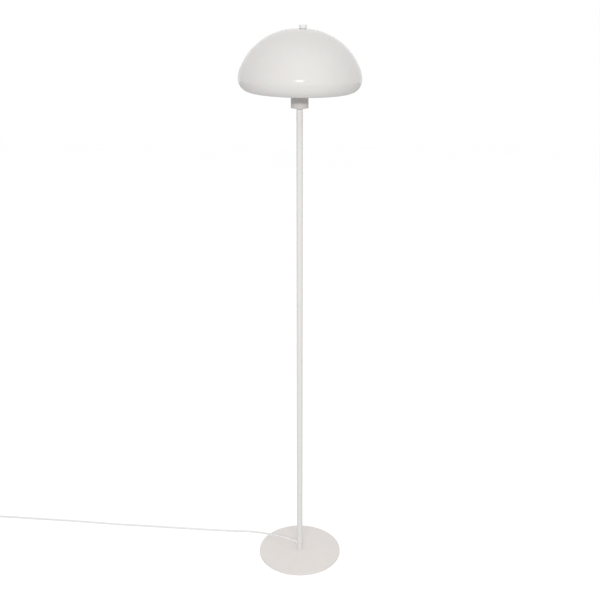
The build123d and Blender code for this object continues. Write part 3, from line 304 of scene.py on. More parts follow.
# Extruded polyethylene ribbon: waxy, with faint draw lines, really 0.2 mm wide and drawn at 1.4 mm.
tie_ribbon, tree, shader, place = start_finish("polyethylene_tie", {"IOR": 1.51})
draw_lines = add_node(
    tree, "ShaderNodeTexNoise", {}, {"Scale": repeats(1.4), "Detail": 2.0}, {"Vector": place}
)
finish_surface(
    tree, shader, tones=(draw_lines.outputs[0], "D4D5D6", "E4E5E6"),
    gloss=(draw_lines.outputs[0], 0.3, 0.5), relief=(draw_lines.outputs[0], 0.00005, 1.0),
)

upward = Vector((0, 0, 1))
outward = Vector((cos(TIE_AZIMUTH), sin(TIE_AZIMUTH), 0))
sideways = Vector((-outward.y, outward.x, 0))
coil_middle = Vector((COIL_X, (SWITCH_Y + PLUG_Y) / 2, 0))
tie_loops = []
for corner_reach, corner_height, start in (
    (BUNDLE_OUTER - TIE_CORNER, BUNDLE_TOP - TIE_CORNER, 0),
    (BUNDLE_INNER + TIE_CORNER, BUNDLE_TOP - TIE_CORNER, 90),
    (BUNDLE_INNER + TIE_CORNER, TIE_CORNER, 180),
    (BUNDLE_OUTER - TIE_CORNER, TIE_CORNER, 270),
):
    corner = coil_middle + outward * corner_reach + upward * corner_height
    for step in range(5):
        turn = radians(start + 90 * step / 4)
        lean = outward * cos(turn) + upward * sin(turn)
        outer = corner + lean * TIE_CORNER
        inner = outer - lean * TIE_THICKNESS
        half = sideways * (TIE_WIDTH / 2)
        ring = (outer - half, outer, outer + half, inner + half, inner - half)
        tie_loops.append([tuple(point) for point in ring])
coil_tie = loops_mesh("coil_tie", tie_loops, tie_ribbon, closed_way=True)
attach(coil_tie, "stand")

TWIST_TURNS = 1.5
TWIST_LENGTH = 0.011
TWIST_LEAN = 1.0                # radians from upright
TWIST_REACH = 0.028             # from the coil's middle
TWIST_ROOT = BUNDLE_TOP - 0.0012
TWIST_STEPS = 24
twist_foot = coil_middle + outward * TWIST_REACH + upward * TWIST_ROOT
twist_way = upward * cos(TWIST_LEAN) + sideways * sin(TWIST_LEAN)
twist_loops = []
for step in range(TWIST_STEPS + 1):
    share = step / TWIST_STEPS
    turn = 2 * pi * TWIST_TURNS * share
    across = sideways * cos(turn) + outward * sin(turn)
    middle = twist_foot + twist_way * (TWIST_LENGTH * share)
    flat = across.cross(twist_way).normalized() * TIE_THICKNESS
    wide = across * (0.0016 + 0.0004 * share)
    corners = (-wide - flat, wide - flat, wide + flat, -wide + flat)
    twist_loops.append([tuple(middle + corner) for corner in corners])
tie_twist = loops_mesh("tie_twist", twist_loops, tie_ribbon)
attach(tie_twist, "stand")


# Floor, walls of light and lamps ---------------------------------------------------------------------
# A plain white floor runs back without an edge, under a white room that is brighter above. Two soft
# lamps stand in front, a little above the shade. The small one makes the bright spot low on the shade,
# and the wide one fills in from the front and is left out of the mirror images.

FLOOR_HALF = 7.0
FLOOR_LIFT = 0.42               # the glow that only the camera sees
ROOM_LIGHT = 0.39               # strength at the horizon and below
CEILING_LIGHT = 0.88
LAMP_AIM = (0, 0, 1.32)

# Matt white paint: no gloss and hardly a mottle. It is lifted to white where the camera sees it, and it
# still shows the lamp's shadow.
floor_white, tree, shader, place = start_finish("white_studio_floor", {"Roughness": 0.9, "IOR": 1.4})
mottle = add_node(
    tree, "ShaderNodeTexNoise", {}, {"Scale": repeats(333), "Detail": 2.0}, {"Vector": place}
)
finish_surface(tree, shader, tones=(mottle.outputs[0], "E2E2E2", "E6E6E6"))
ray = add_node(tree, "ShaderNodeLightPath")
lift = add_node(
    tree, "ShaderNodeMath", {"operation": "MULTIPLY"}, {1: FLOOR_LIFT}, {0: ray.outputs["Is Camera Ray"]}
)
shader.inputs["Emission Color"].default_value = (1, 1, 1, 1)
tree.links.new(lift.outputs[0], shader.inputs["Emission Strength"])

floor_corners = [(x * FLOOR_HALF, y * FLOOR_HALF, 0) for x, y in ((-1, -1), (1, -1), (1, 1), (-1, 1))]
floor = skin_mesh("floor", floor_corners, [(0, 1, 2, 3)], floor_white)

world = bpy.data.worlds.new("studio")
scene.world = world
world.use_nodes = True
tree = world.node_tree
tree.nodes.clear()
ray = add_node(tree, "ShaderNodeLightPath")
seen_or_mirrored = add_node(
    tree, "ShaderNodeMath", {"operation": "MAXIMUM"}, {},
    {0: ray.outputs["Is Camera Ray"], 1: ray.outputs["Is Glossy Ray"]},
)
shown = add_node(
    tree, "ShaderNodeMath", {"operation": "MAXIMUM"}, {},
    {0: seen_or_mirrored.outputs[0], 1: ray.outputs["Is Transmission Ray"]},
)
direction = add_node(tree, "ShaderNodeTexCoord").outputs["Generated"]
climb = add_node(tree, "ShaderNodeSeparateXYZ", {}, {}, {0: direction}).outputs["Z"]
brighter_above = add_node(
    tree, "ShaderNodeMapRange", {}, {"To Min": ROOM_LIGHT, "To Max": CEILING_LIGHT}, {"Value": climb}
)
room = add_node(
    tree, "ShaderNodeBackground", {}, {"Color": (1, 1, 1, 1)},
    {"Strength": brighter_above.outputs["Result"]},
)
backdrop = add_node(tree, "ShaderNodeBackground", {}, {"Color": (1, 1, 1, 1), "Strength": 1.0})
choice = add_node(
    tree, "ShaderNodeMixShader", {}, {}, {0: shown.outputs[0], 1: room.outputs[0], 2: backdrop.outputs[0]}
)
add_node(tree, "ShaderNodeOutputWorld", {}, {}, {"Surface": choice.outputs[0]})


def soft_lamp(name, where, width, height, power):
    """A rectangular soft lamp that faces the cup under the shade."""
    data = bpy.data.lights.new(name, "AREA")
    data.shape = "RECTANGLE"
    data.size = width
    data.size_y = height
    data.energy = power
    lamp = bpy.data.objects.new(name, data)
    lamp.location = where
    lamp.rotation_euler = (Vector(LAMP_AIM) - Vector(where)).to_track_quat("-Z", "Y").to_euler()
    scene.collection.objects.link(lamp)
    return lamp


soft_lamp("front_lamp", (-0.08, -3.1, 2.11), width=0.7, height=0.3, power=7)
wide_lamp = soft_lamp("wide_lamp", (0.0, -3.2, 2.14), width=2.2, height=0.12, power=41)
wide_lamp.visible_glossy = False


# Base ------------------------------------------------------------------------------------------------
# A round plate of 5 mm steel, turned and coated, on a disc of grey needled felt that is glued under it.
# One countersunk screw comes up through its middle into the pole's foot.


def coat(node_name, finish):
    """Gives a CAD piece its finish."""
    for slot in bpy.data.objects[node_name].material_slots:
        slot.material = finish


def powder_coat(name, tones, gloss):
    """Epoxy-polyester powder baked on steel: a satin sheen over orange peel 1.5 mm across."""
    finish, tree, shader, place = start_finish(name, {"IOR": 1.5})
    cloud = add_node(
        tree, "ShaderNodeTexNoise", {}, {"Scale": repeats(45), "Detail": 2.0}, {"Vector": place}
    )
    peel = add_node(
        tree, "ShaderNodeTexNoise", {}, {"Scale": repeats(1.5), "Detail": 1.5}, {"Vector": place}
    )
    finish_surface(
        tree, shader, tones=(cloud.outputs[0], *tones), gloss=(peel.outputs[0], *gloss),
        relief=(peel.outputs[0], 0.00003, 0.3),
    )
    return finish


# Matt warm white powder: the plate looks soft and slightly grey beside the shade.
coat("base_plate", powder_coat("warm_white_powder_coat", ("E9E4E0", "EEE9E5"), gloss=(0.5, 0.62)))

# Needled felt: short fibres in every direction, no gloss, a soft pale fringe of light at its edge. A real
# fibre is 0.03 mm thick, so tufts of them are drawn instead, 1.1 mm across.
felt, tree, shader, place = start_finish("grey_needled_felt", {"Roughness": 0.95, "Sheen Weight": 0.35})
matted = add_node(
    tree, "ShaderNodeTexNoise", {}, {"Scale": repeats(2.6), "Detail": 6.0, "Roughness": 0.7},
    {"Vector": place},
)
tufts = add_node(
    tree, "ShaderNodeTexVoronoi", {"feature": "DISTANCE_TO_EDGE"}, {"Scale": repeats(1.1)},
    {"Vector": place},
)
tangle = add_node(
    tree, "ShaderNodeMath", {"operation": "ADD"}, {}, {0: matted.outputs[0], 1: tufts.outputs["Distance"]}
)
finish_surface(
    tree, shader, tones=(matted.outputs[0], "7F7F7D", "A8A8A5"), relief=(tangle.outputs[0], 0.0004, 1.0)
)
coat("floor_pad", felt)


def bright_metal(name, tones, gloss, pitch=0.0):
    """Plated or drawn metal: mirror-like with clouds 6 mm across, over a fine grain, drawn at 0.4 mm so
    that it shows, or over the lines of a thread where a pitch in metres is given."""
    finish, tree, shader, place = start_finish(name, {"Metallic": 1.0})
    cloud = add_node(
        tree, "ShaderNodeTexNoise", {}, {"Scale": repeats(6.2), "Detail": 4.0}, {"Vector": place}
    )
    finish_surface(tree, shader, tones=(cloud.outputs[0], *tones), gloss=(cloud.outputs[0], *gloss))
    if pitch:
        split = add_node(tree, "ShaderNodeSeparateXYZ", {}, {}, {0: place})
        turn = add_node(
            tree, "ShaderNodeMath", {"operation": "ARCTAN2"}, {},
            {0: split.outputs["Y"], 1: split.outputs["X"]},
        )
        climb = add_node(
            tree, "ShaderNodeMath", {"operation": "MULTIPLY_ADD"}, {1: 2 * pi / pitch},
            {0: split.outputs["Z"], 2: turn.outputs[0]},
        )
        ridge = add_node(tree, "ShaderNodeMath", {"operation": "SINE"}, {}, {0: climb.outputs[0]})
        finish_surface(tree, shader, relief=(ridge.outputs[0], pitch / 4, 1.0))
    else:
        grain = add_node(
            tree, "ShaderNodeTexNoise", {}, {"Scale": repeats(0.4), "Detail": 2.0}, {"Vector": place}
        )
        finish_surface(tree, shader, relief=(grain.outputs[0], 0.00003, 0.4))
    return finish


# Bright zinc on the screws: bluish, with soft clouds from the bath.
bright_zinc = bright_metal("bright_zinc_plated_steel", ("9A9EA3", "C4C8CC"), gloss=(0.22, 0.42))
coat("base_screw", bright_zinc)


# Pole ------------------------------------------------------------------------------------------------
# Three lengths of drawn steel tube, 16 mm across, coated white. Threaded bushes are pressed into their
# ends, and hollow nipples screwed into these hold the lengths together, end to end.

# Satin white powder: neutral, a little glossier than the base, fine orange peel.
pole_powder = powder_coat("satin_white_powder_coat", ("E5E4E2", "ECEBE9"), gloss=(0.36, 0.48))
for name in ("pole_lower", "pole_middle", "pole_upper"):
    coat(name, pole_powder)

# Zinc on the bushes, with the fine lines of the turned thread that their bore carries.
bush_zinc = bright_metal("turned_zinc_plated_steel", ("8F9398", "B9BDC1"), gloss=(0.3, 0.5), pitch=0.0012)
for name in (
    "foot_insert", "lower_joint_insert", "middle_foot_insert", "middle_top_insert", "upper_foot_insert",
    "head_insert",
):
    coat(name, bush_zinc)

# Yellow passivated zinc on the nipples: straw to faintly green, threaded at one millimetre.
nipple_zinc = bright_metal(
    "yellow_zinc_plated_steel", ("B09A5C", "D2C388"), gloss=(0.25, 0.42), pitch=0.001,
)
for name in ("lower_joint_nipple", "upper_joint_nipple", "head_nipple"):
    coat(name, nipple_zinc)


# Lead's way out of the pole --------------------------------------------------------------------------
# A moulded strain relief is snapped into a hole in the pole: a round flange outside, and a tapered tail
# cut with grooves so that it bends evenly. The lead itself goes on inside, up to the lampholder.

EXIT_AZIMUTH = radians(150)
EXIT_HEIGHT = 0.028
GROOVES = 6
GROOVE_PITCH = 0.0034
GROOVE_DEPTH = 0.0006
TAIL_START = 0.0102
TAIL_END = 0.032
TAIL_RADIUS = 0.0043
TAIL_TAPER = 0.0011             # how much thinner the tail is at its end


def turned_mesh(name, outline, sides, finish, place=Matrix(), dent=None, sharp_angle=35.0):
    """A skin turned about Z through (radius, height) corners. A third number at a corner is its share of
    the dent, which is a depth by angle and height."""
    loops = []
    for corner in outline:
        radius, height = corner[:2]
        share = corner[2] if len(corner) > 2 else 0.0
        loop = []
        for step in range(sides):
            angle = 2 * pi * step / sides
            reach = radius - (share * dent(angle, height) if dent and share else 0.0)
            loop.append(tuple(place @ Vector((reach * cos(angle), reach * sin(angle), height))))
        loops.append(loop)
    return loops_mesh(name, loops, finish, closed_way=True, sharp_angle=sharp_angle)


def moulded(name, tones, ior, gloss, grain, depth):
    """Moulded plastic: even colour, and the grain that the mould's spark-eroded walls leave. The real
    grain is about 0.1 mm, and is drawn as coarse as the millimetres given, so that it shows."""
    finish, tree, shader, place = start_finish(name, {"IOR": ior})
    flow = add_node(
        tree, "ShaderNodeTexNoise", {}, {"Scale": repeats(33), "Detail": 2.0}, {"Vector": place}
    )
    spark = add_node(
        tree, "ShaderNodeTexNoise", {}, {"Scale": repeats(grain), "Detail": 2.0}, {"Vector": place}
    )
    finish_surface(
        tree, shader, tones=(flow.outputs[0], *tones), gloss=(spark.outputs[0], *gloss),
        relief=(spark.outputs[0], depth, 0.6),
    )
    return finish


# Soft PVC moulding: as white as the lead it grips, and more matt.
relief_pvc = moulded(
    "moulded_soft_pvc", ("EAEAE9", "F1F1F0"), ior=1.53, gloss=(0.5, 0.65), grain=0.6, depth=0.00004,
)

# The flange, the grooved tail and the bore, by radius and by distance from the pole's middle.
relief_outline = [
    (0.00262, 0.0072), (0.0039, 0.0072), (0.0039, 0.0066), (0.0054, 0.0060), (0.0055, 0.0066),
    (0.0055, 0.0088), (0.0053, 0.0094), (0.0048, 0.00965),
]
groove_outline = ((0, 0), (0.0018, 0), (0.0020, GROOVE_DEPTH), (0.0030, GROOVE_DEPTH), (0.0032, 0))
for number in range(GROOVES):
    for offset, sink in groove_outline:
        along = number * GROOVE_PITCH + offset
        radius = TAIL_RADIUS - TAIL_TAPER * along / (TAIL_END - TAIL_START)
        relief_outline.append((radius - sink, TAIL_START + along))
relief_outline += [(0.00321, 0.0315), (0.003, TAIL_END), (0.00262, TAIL_END)]
turned_outward = Matrix.Rotation(EXIT_AZIMUTH, 4, "Z") @ Matrix.Rotation(radians(90), 4, "Y")
out_of_pole = Matrix.Translation((0, 0, EXIT_HEIGHT)) @ turned_outward
strain_relief = turned_mesh("strain_relief", relief_outline, 48, relief_pvc, out_of_pole)
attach(strain_relief, "stand")
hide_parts("cord_relief")

coat("inner_lead", lead_pvc)


def core_wire(name, tones):
    """Extruded PVC over stranded copper: even colour and a soft gloss."""
    return moulded(name, tones, ior=1.53, gloss=(0.35, 0.5), grain=0.8, depth=0.00003)


brown_core = core_wire("brown_core_pvc", ("4A2714", "5A321C"))
coat("lead_wire_live", brown_core)
coat("lead_wire_neutral", core_wire("blue_core_pvc", ("1F4E96", "2B5DA8")))


# Cup -------------------------------------------------------------------------------------------------
# A cup spun from 1.2 mm steel and coated like the pole. It stands on the pole's top round the
# lampholder, and a thin nut on the hollow nipple clamps its floor.

# Satin white powder on the cup: the pole's coat, painted greyer as painted shade from the shade above it,
# and a little glossier.
coat("socket_cup", powder_coat("cup_powder_with_painted_shade", ("D1CCC9", "D7D2CF"), gloss=(0.34, 0.46)))
coat("cup_lock_nut", bush_zinc)


# Lampholder ------------------------------------------------------------------------------------------
# Two halves of white thermoplastic polyester screwed together. The lower one has the threaded hub, and
# the upper one a coarse outside thread for the ring. Inside stand the contacts and the metal thread.

THREAD_SIDES = 72
SKIRT_RADIUS = 0.0197
SKIRT_PITCH = 0.003
SKIRT_DEPTH = 0.0006
SLEEVE_RADIUS = 0.0138
SLEEVE_WALL = 0.0003
SLEEVE_FOOT = 1.3480
SLEEVE_TOP = 1.3690
SCREW_PITCH = 0.0036
SLEEVE_DEPTH = 0.0003
RIBS = 40
RIB_DEPTH = 0.0007


def screw_dent(pitch, depth):
    """How deep a round thread lies below its crest at an angle and a height."""
    return lambda angle, height: depth * (0.5 - 0.5 * cos(2 * pi * height / pitch - angle))


def thread_rings(radius, bottom, top, pitch, run_out):
    """Corners up a thread, eight to a turn, which fades in and out over the run-out."""
    count = round((top - bottom) / (pitch / 8))
    rings = []
    for step in range(count + 1):
        height = bottom + (top - bottom) * step / count
        fade = min(1.0, (height - bottom) / run_out, (top - height) / run_out)
        rings.append((radius, height, max(0.0, fade)))
    return rings


# Glass-filled polyester: dense white, matt, with a fine grain.
holder_pbt = moulded(
    "moulded_polyester", ("DDDBD6", "E7E5E0"), ior=1.57, gloss=(0.4, 0.55), grain=0.5, depth=0.00003,
)
coat("holder_cap", holder_pbt)

# The skirt's overlap, its thread, its rim and the bore that steps out again below.
skirt_outline = [(0.01775, 1.3341), (SKIRT_RADIUS, 1.3341), (SKIRT_RADIUS, 1.3445)]
skirt_outline += thread_rings(SKIRT_RADIUS, 1.3445, 1.3680, SKIRT_PITCH, 0.002)
skirt_outline += [
    (0.0193, 1.3697), (0.0188, 1.3700), (0.0143, 1.3700), (0.0140, 1.3697), (0.0140, 1.3430),
    (0.01775, 1.3430),
]
holder_skirt = turned_mesh(
    "lampholder_skirt", skirt_outline, THREAD_SIDES, holder_pbt, dent=screw_dent(SKIRT_PITCH, SKIRT_DEPTH)
)
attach(holder_skirt, "stand")
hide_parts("holder_skirt")

# Pressed urea resin in the core: creamier and quite matt.
coat("holder_core", moulded(
    "pressed_urea_resin", ("CFCAB9", "DDD8C8"), ior=1.56, gloss=(0.5, 0.62), grain=0.4, depth=0.00003,
))

# Rolled brass strip: warm and slightly dulled.
brass = bright_metal("rolled_brass_strip", ("A8883F", "D0B068"), gloss=(0.25, 0.42))
for name in ("centre_contact", "side_contact"):
    coat(name, brass)
coat("terminal_screws", bright_zinc)

# Nickel washed brass, pressed into a round thread: pale, warm and bright.
nickel_brass = bright_metal("nickel_washed_brass", ("B5AD93", "DAD3BC"), gloss=(0.2, 0.36))
sleeve_rings = thread_rings(SLEEVE_RADIUS, SLEEVE_FOOT, SLEEVE_TOP, SCREW_PITCH, 0.0015)
sleeve_outline = [(SLEEVE_RADIUS, SLEEVE_FOOT), *sleeve_rings, (SLEEVE_RADIUS + 0.00005, SLEEVE_TOP)]
sleeve_outline += [
    (radius - SLEEVE_WALL, height, share) for radius, height, share in reversed(sleeve_rings)
]
thread_sleeve = turned_mesh(
    "screw_thread_sleeve", sleeve_outline, THREAD_SIDES, nickel_brass,
    dent=screw_dent(SCREW_PITCH, SLEEVE_DEPTH),
)
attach(thread_sleeve, "stand")
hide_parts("thread_sleeve")

# The ring that clamps the harp has forty grip ribs round it.
ring_outline = [
    (0.01985, 1.3516), (0.0228, 1.3516), (0.0230, 1.3520, 0.3), (0.0230, 1.3526, 1), (0.0230, 1.3578, 1),
    (0.0228, 1.3584, 0.3), (0.0220, 1.3592), (0.0214, 1.3595), (0.0201, 1.3595), (0.01985, 1.3592),
]
shade_ring = turned_mesh(
    "ribbed_shade_ring", ring_outline, RIBS * 6, holder_pbt,
    dent=lambda angle, height: RIB_DEPTH * (0.5 - 0.5 * cos(RIBS * angle)) ** 2, sharp_angle=50.0,
)
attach(shade_ring, "stand")
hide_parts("shade_ring")


# Harp ------------------------------------------------------------------------------------------------
# A 4 mm wire bent into a tall loop, welded to a flat ring below and to a round seat with a threaded
# post above, then coated white. A soft washer lies on the seat.

HEAD_PLACE = Matrix.Translation((0.008, 0, 1.492)) @ Matrix.Rotation(radians(0.8), 4, "Y")
WIRE_FOOT_X = 0.026
FLAT_RING_MIDDLE = 1.3515
POST_RADIUS = 0.00318
POST_PITCH = 0.001
POST_DEPTH = 0.0005

# White powder on the harp, a little thicker and glossier where it has run round the wire.
harp_powder = powder_coat("white_harp_powder_coat", ("DCDCDB", "E6E6E5"), gloss=(0.32, 0.45))
coat("harp", harp_powder)

weld_outline = [
    (0.0019, -0.0004), (0.0041, -0.0004), (0.0040, 0.0001), (0.0033, 0.0006), (0.0026, 0.0013),
    (0.0021, 0.0024), (0.0019, 0.0024),
]
for number, x in enumerate((-WIRE_FOOT_X, WIRE_FOOT_X)):
    wire_foot = Matrix.Translation((x, 0, FLAT_RING_MIDDLE))
    bead = turned_mesh(f"harp_weld_{number}", weld_outline, 24, harp_powder, wire_foot)
    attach(bead, "stand")

# Cut steel thread, lightly oiled: grey and bright.
post_steel = bright_metal("threaded_post_steel", ("A2A5A8", "CDD0D3"), gloss=(0.22, 0.38))
post_outline = [(0.0026, -0.0034)] + thread_rings(POST_RADIUS, -0.0034, 0.0058, POST_PITCH, 0.0006)
post_outline += [(0.0030, 0.0061), (0.0026, 0.0064), (0.0004, 0.0064), (0.0004, -0.0034)]
post_thread = turned_mesh(
    "post_thread", post_outline, 40, post_steel, HEAD_PLACE, dent=screw_dent(POST_PITCH, POST_DEPTH)
)
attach(post_thread, "stand")

# Moulded silicone: matt, slightly waxy.
silicone = moulded(
    "soft_white_silicone", ("C9C9C8", "D6D6D5"), ior=1.41, gloss=(0.55, 0.7), grain=0.9, depth=0.00003,
)
coat("seat_washer", silicone)


# Shade -----------------------------------------------------------------------------------------------
# A dome blown from opal acrylic 3 mm thick, with its rim turned in underneath. Glossy outside, so it
# carries soft reflections of the lamps, and the faint waves of a blown sheet.

# Blown opal acrylic: milky right through, nearly pure white, and polished, with waves 111 mm long.
opal_acrylic, tree, shader, place = start_finish("opal_white_acrylic", {
    "IOR": 1.49, "Subsurface Weight": 0.08, "Subsurface Scale": 0.004, "Coat Weight": 0.15,
    "Coat Roughness": 0.08,
})
blown_wave = add_node(
    tree, "ShaderNodeTexNoise", {}, {"Scale": repeats(111), "Detail": 1.0}, {"Vector": place}
)
polish = add_node(
    tree, "ShaderNodeTexNoise", {}, {"Scale": repeats(4.2), "Detail": 3.0}, {"Vector": place}
)
finish_surface(
    tree, shader, tones=(blown_wave.outputs[0], "DDDAD8", "E2E0DD"),
    gloss=(polish.outputs[0], 0.14, 0.19), relief=(blown_wave.outputs[0], 0.0006, 0.3),
)
coat("shade", opal_acrylic)


# Knob ------------------------------------------------------------------------------------------------
# A small round knob, turned from steel and coated in gloss white, with a thin silicone washer under
# it. It screws on the harp's post and holds the shade down.

# Gloss white enamel: smoother and brighter than the powder.
gloss_enamel = powder_coat("gloss_white_enamel", ("EBEBEB", "F1F1F1"), gloss=(0.2, 0.3))
coat("finial", gloss_enamel)
coat("finial_washer", silicone)


# Bulb ------------------------------------------------------------------------------------------------
# A light bulb with a rolled screw cap, a white plastic body that flares out of it, and a frosted globe
# on top. A small driver and a round board with its light chips are closed up inside.

CAP_RADIUS = 0.01315
CAP_DEPTH = 0.0008

# Rolled aluminium: bright, with a fine haze from the rolls.
cap_aluminium = bright_metal("rolled_aluminium_cap", ("B4B5B7", "DADBDC"), gloss=(0.18, 0.34))
cap_outline = [(0.0009, 1.35105), (0.0110, 1.35105), (0.0122, 1.3518), (0.0129, 1.3530)]
cap_outline += thread_rings(CAP_RADIUS, 1.3535, 1.3695, SCREW_PITCH, 0.0012)
cap_outline += [(CAP_RADIUS, 1.3699), (CAP_RADIUS, 1.37235), (0.0009, 1.37235)]
bulb_cap = turned_mesh(
    "rolled_bulb_cap", cap_outline, THREAD_SIDES, cap_aluminium, dent=screw_dent(SCREW_PITCH, CAP_DEPTH)
)
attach(bulb_cap, "bulb")
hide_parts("bulb_cap")

# Tinned brass at the tip: greyer and duller than the cap.
coat("bulb_contact", bright_metal("tinned_tip_contact", ("A9A9A6", "CFCFCB"), gloss=(0.25, 0.45)))

# Pressed black glass of the insulator: smooth and dark.
coat("bulb_insulator", moulded(
    "black_glass_insulator", ("0B0B0C", "141415"), ior=1.52, gloss=(0.06, 0.14), grain=2, depth=0.00002,
))

# Polycarbonate body: even white, satin.
coat("bulb_body", moulded(
    "satin_polycarbonate", ("DEDEDC", "E6E6E4"), ior=1.58, gloss=(0.34, 0.46), grain=0.6, depth=0.00002,
))

# Frosted opal polycarbonate: milky, with a soft gloss. Its fine etched grain is drawn at 0.7 mm so that
# it shows.
frosted, tree, shader, place = start_finish("frosted_opal_polycarbonate", {
    "IOR": 1.58, "Subsurface Weight": 0.2, "Subsurface Scale": 0.003,
    "Subsurface Radius": (1.0, 1.0, 1.0),
})
frost = add_node(
    tree, "ShaderNodeTexNoise", {}, {"Scale": repeats(0.7), "Detail": 3.0}, {"Vector": place}
)
finish_surface(
    tree, shader, tones=(frost.outputs[0], "E8E8E4", "EFEFEB"),
    gloss=(frost.outputs[0], 0.36, 0.48), relief=(frost.outputs[0], 0.00003, 0.4),
)
coat("bulb_dome", frosted)

# Glass-fibre board under white solder resist, with the weave just showing through. Its threads are really
# 0.5 mm apart, and are drawn 1.57 mm apart so that they show.
WAVE_NODE_REPEAT = pi / 10      # how far apart the wave node's bands stand at a scale of 1
board_resist, tree, shader, place = start_finish("fibre_board_solder_resist", {"IOR": 1.55})
threads = [
    add_node(
        tree, "ShaderNodeTexWave", {"bands_direction": way}, {"Scale": WAVE_NODE_REPEAT * repeats(1.57)},
        {"Vector": place},
    )
    for way in ("X", "Y")
]
weave = add_node(
    tree, "ShaderNodeMath", {"operation": "MULTIPLY"}, {},
    {number: thread.outputs["Fac"] for number, thread in enumerate(threads)},
)
finish_surface(
    tree, shader, tones=(weave.outputs[0], "C3C9B4", "D9DDCB"),
    gloss=(weave.outputs[0], 0.3, 0.45), relief=(weave.outputs[0], 0.00004, 1.0),
)
for name in ("bulb_board", "bulb_driver"):
    coat(name, board_resist)


# Foot switch -----------------------------------------------------------------------------------------
# Two white shells of ABS held by screws from below, with a long push button between them. The lead goes
# in and out through the shells' ends. Inside are a spring, two terminals and the cores.

SWITCH_X = -1.037
PARTING_HEIGHT = 0.009
PARTING_HALF = 0.00016
BUTTON_TOP = 0.022
RIDGE_PITCH = 0.0042
RIDGE_RADIUS = 0.0007
RIDGE_HEIGHT = 0.00045
RIDGE_SINK = 0.0002
END_ROOT = 0.033                # where a tapered end starts, from the switch's middle
END_LENGTH = 0.014
END_RADIUS = 0.0045
END_TAPER = 0.001
END_OVERLAP = 0.0001
END_SIDES = 16

# Moulded ABS: satin, with a grain drawn at 0.55 mm so that it shows, and the dark hairline where the two
# shells meet.
shell_abs, tree, shader, place = start_finish("grained_white_abs", {"IOR": 1.54})
flow = add_node(tree, "ShaderNodeTexNoise", {}, {"Scale": repeats(38), "Detail": 2.0}, {"Vector": place})
spark = add_node(
    tree, "ShaderNodeTexNoise", {}, {"Scale": repeats(0.55), "Detail": 3.0}, {"Vector": place}
)
split = add_node(tree, "ShaderNodeSeparateXYZ", {}, {}, {0: place})
hairline = add_node(
    tree, "ShaderNodeMath", {"operation": "COMPARE"}, {1: PARTING_HEIGHT, 2: PARTING_HALF},
    {0: split.outputs["Z"]},
)
white = add_node(
    tree, "ShaderNodeMix", {"data_type": "RGBA"}, {6: linear("DCDCDA"), 7: linear("E6E6E4")},
    {0: flow.outputs[0]},
)
lined = add_node(
    tree, "ShaderNodeMix", {"data_type": "RGBA"}, {7: linear("77777A")},
    {0: hairline.outputs[0], 6: white.outputs[2]},
)
tree.links.new(lined.outputs[2], shader.inputs["Base Color"])
finish_surface(
    tree, shader, gloss=(spark.outputs[0], 0.42, 0.56), relief=(spark.outputs[0], 0.00005, 0.7)
)
for name in ("switch_base", "switch_cover"):
    coat(name, shell_abs)

# Moulded ABS of the button: glossier, polished by feet.
button_abs = moulded(
    "satin_white_abs", ("D9D9D7", "E3E3E1"), ior=1.54, gloss=(0.24, 0.36), grain=0.6, depth=0.00001,
)
coat("switch_button", button_abs)

# Five grip ridges across the button, shorter towards its ends.
for number in range(5):
    ridge_x = SWITCH_X + (number - 2) * RIDGE_PITCH
    half_length = 0.0062 - 0.0009 * abs(number - 2)
    ridge_loops = []
    for step in range(13):
        share = step / 6 - 1
        fade = sqrt(1 - share ** 6)
        ridge_loops.append([
            (
                ridge_x + RIDGE_RADIUS * cos(turn), SWITCH_Y + half_length * share,
                BUTTON_TOP - RIDGE_SINK + RIDGE_HEIGHT * fade * sin(turn),
            )
            for turn in (pi * turn_step / 8 for turn_step in range(9))
        ])
    ridge = loops_mesh(f"button_ridge_{number}", ridge_loops, button_abs)
    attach(ridge, "switch_button")

# The cover's share of the two tapered ends that hold the lead.
for side, end_name in ((1, "front"), (-1, "back")):
    end_loops = []
    for reach in (0.0345, 0.0386, 0.0428, 0.0470):
        radius = END_RADIUS - END_TAPER * (reach - END_ROOT) / END_LENGTH
        foot = asin((PARTING_HEIGHT - END_OVERLAP - NUB_HEIGHT) / radius)
        turns = [foot + (pi - 2 * foot) * step / END_SIDES for step in range(END_SIDES + 1)]
        end_loops.append([
            (SWITCH_X + side * reach, SWITCH_Y + radius * cos(turn), NUB_HEIGHT + radius * sin(turn))
            for turn in turns
        ])
    cover_end = loops_mesh(f"cover_end_{end_name}", end_loops, shell_abs)
    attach(cover_end, "stand")

# Drawn spring steel: grey and bright. The spring gets a mesh of its own.
coat("button_spring", bright_metal("drawn_spring_steel", ("8A8C8F", "B0B3B6"), gloss=(0.26, 0.4)))
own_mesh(bpy.data.objects["button_spring"])
coat("switch_terminals", brass)
coat("switch_screws", bright_zinc)
coat("switch_wires", brown_core)


# Plug ------------------------------------------------------------------------------------------------
# A flat two-pin plug moulded round the end of the lead: wide in front, narrowing to a tapered tail with
# grooves, and three finger grooves on each side. Its pins are nickel plated brass, and half sleeved.

PLUG_SIDES = 64
PLUG_TAIL_X = -1.0897
PLUG_TAIL_RADIUS = 0.0033
PLUG_TAIL_GAIN = 0.0017         # how much thicker the tail is where the body starts
PLUG_TAIL_LENGTH = 0.024
PLUG_TAIL_PITCH = 0.0042
PLUG_BODY_X = -1.0664
PLUG_BODY_LENGTH = 0.0310
PLUG_BODY_STEPS = 32
FINGER_GROOVE_STEPS = (14, 15, 18, 19, 22, 23)
FINGER_GROOVE_DEPTH = 0.0005
SLEEVED_UNTIL = -1.0240

# Harder moulded PVC: satin white, with a fine grain.
plug_pvc = moulded(
    "moulded_plug_pvc", ("D9D9D7", "E2E2E0"), ior=1.53, gloss=(0.42, 0.56), grain=0.7, depth=0.00003,
)


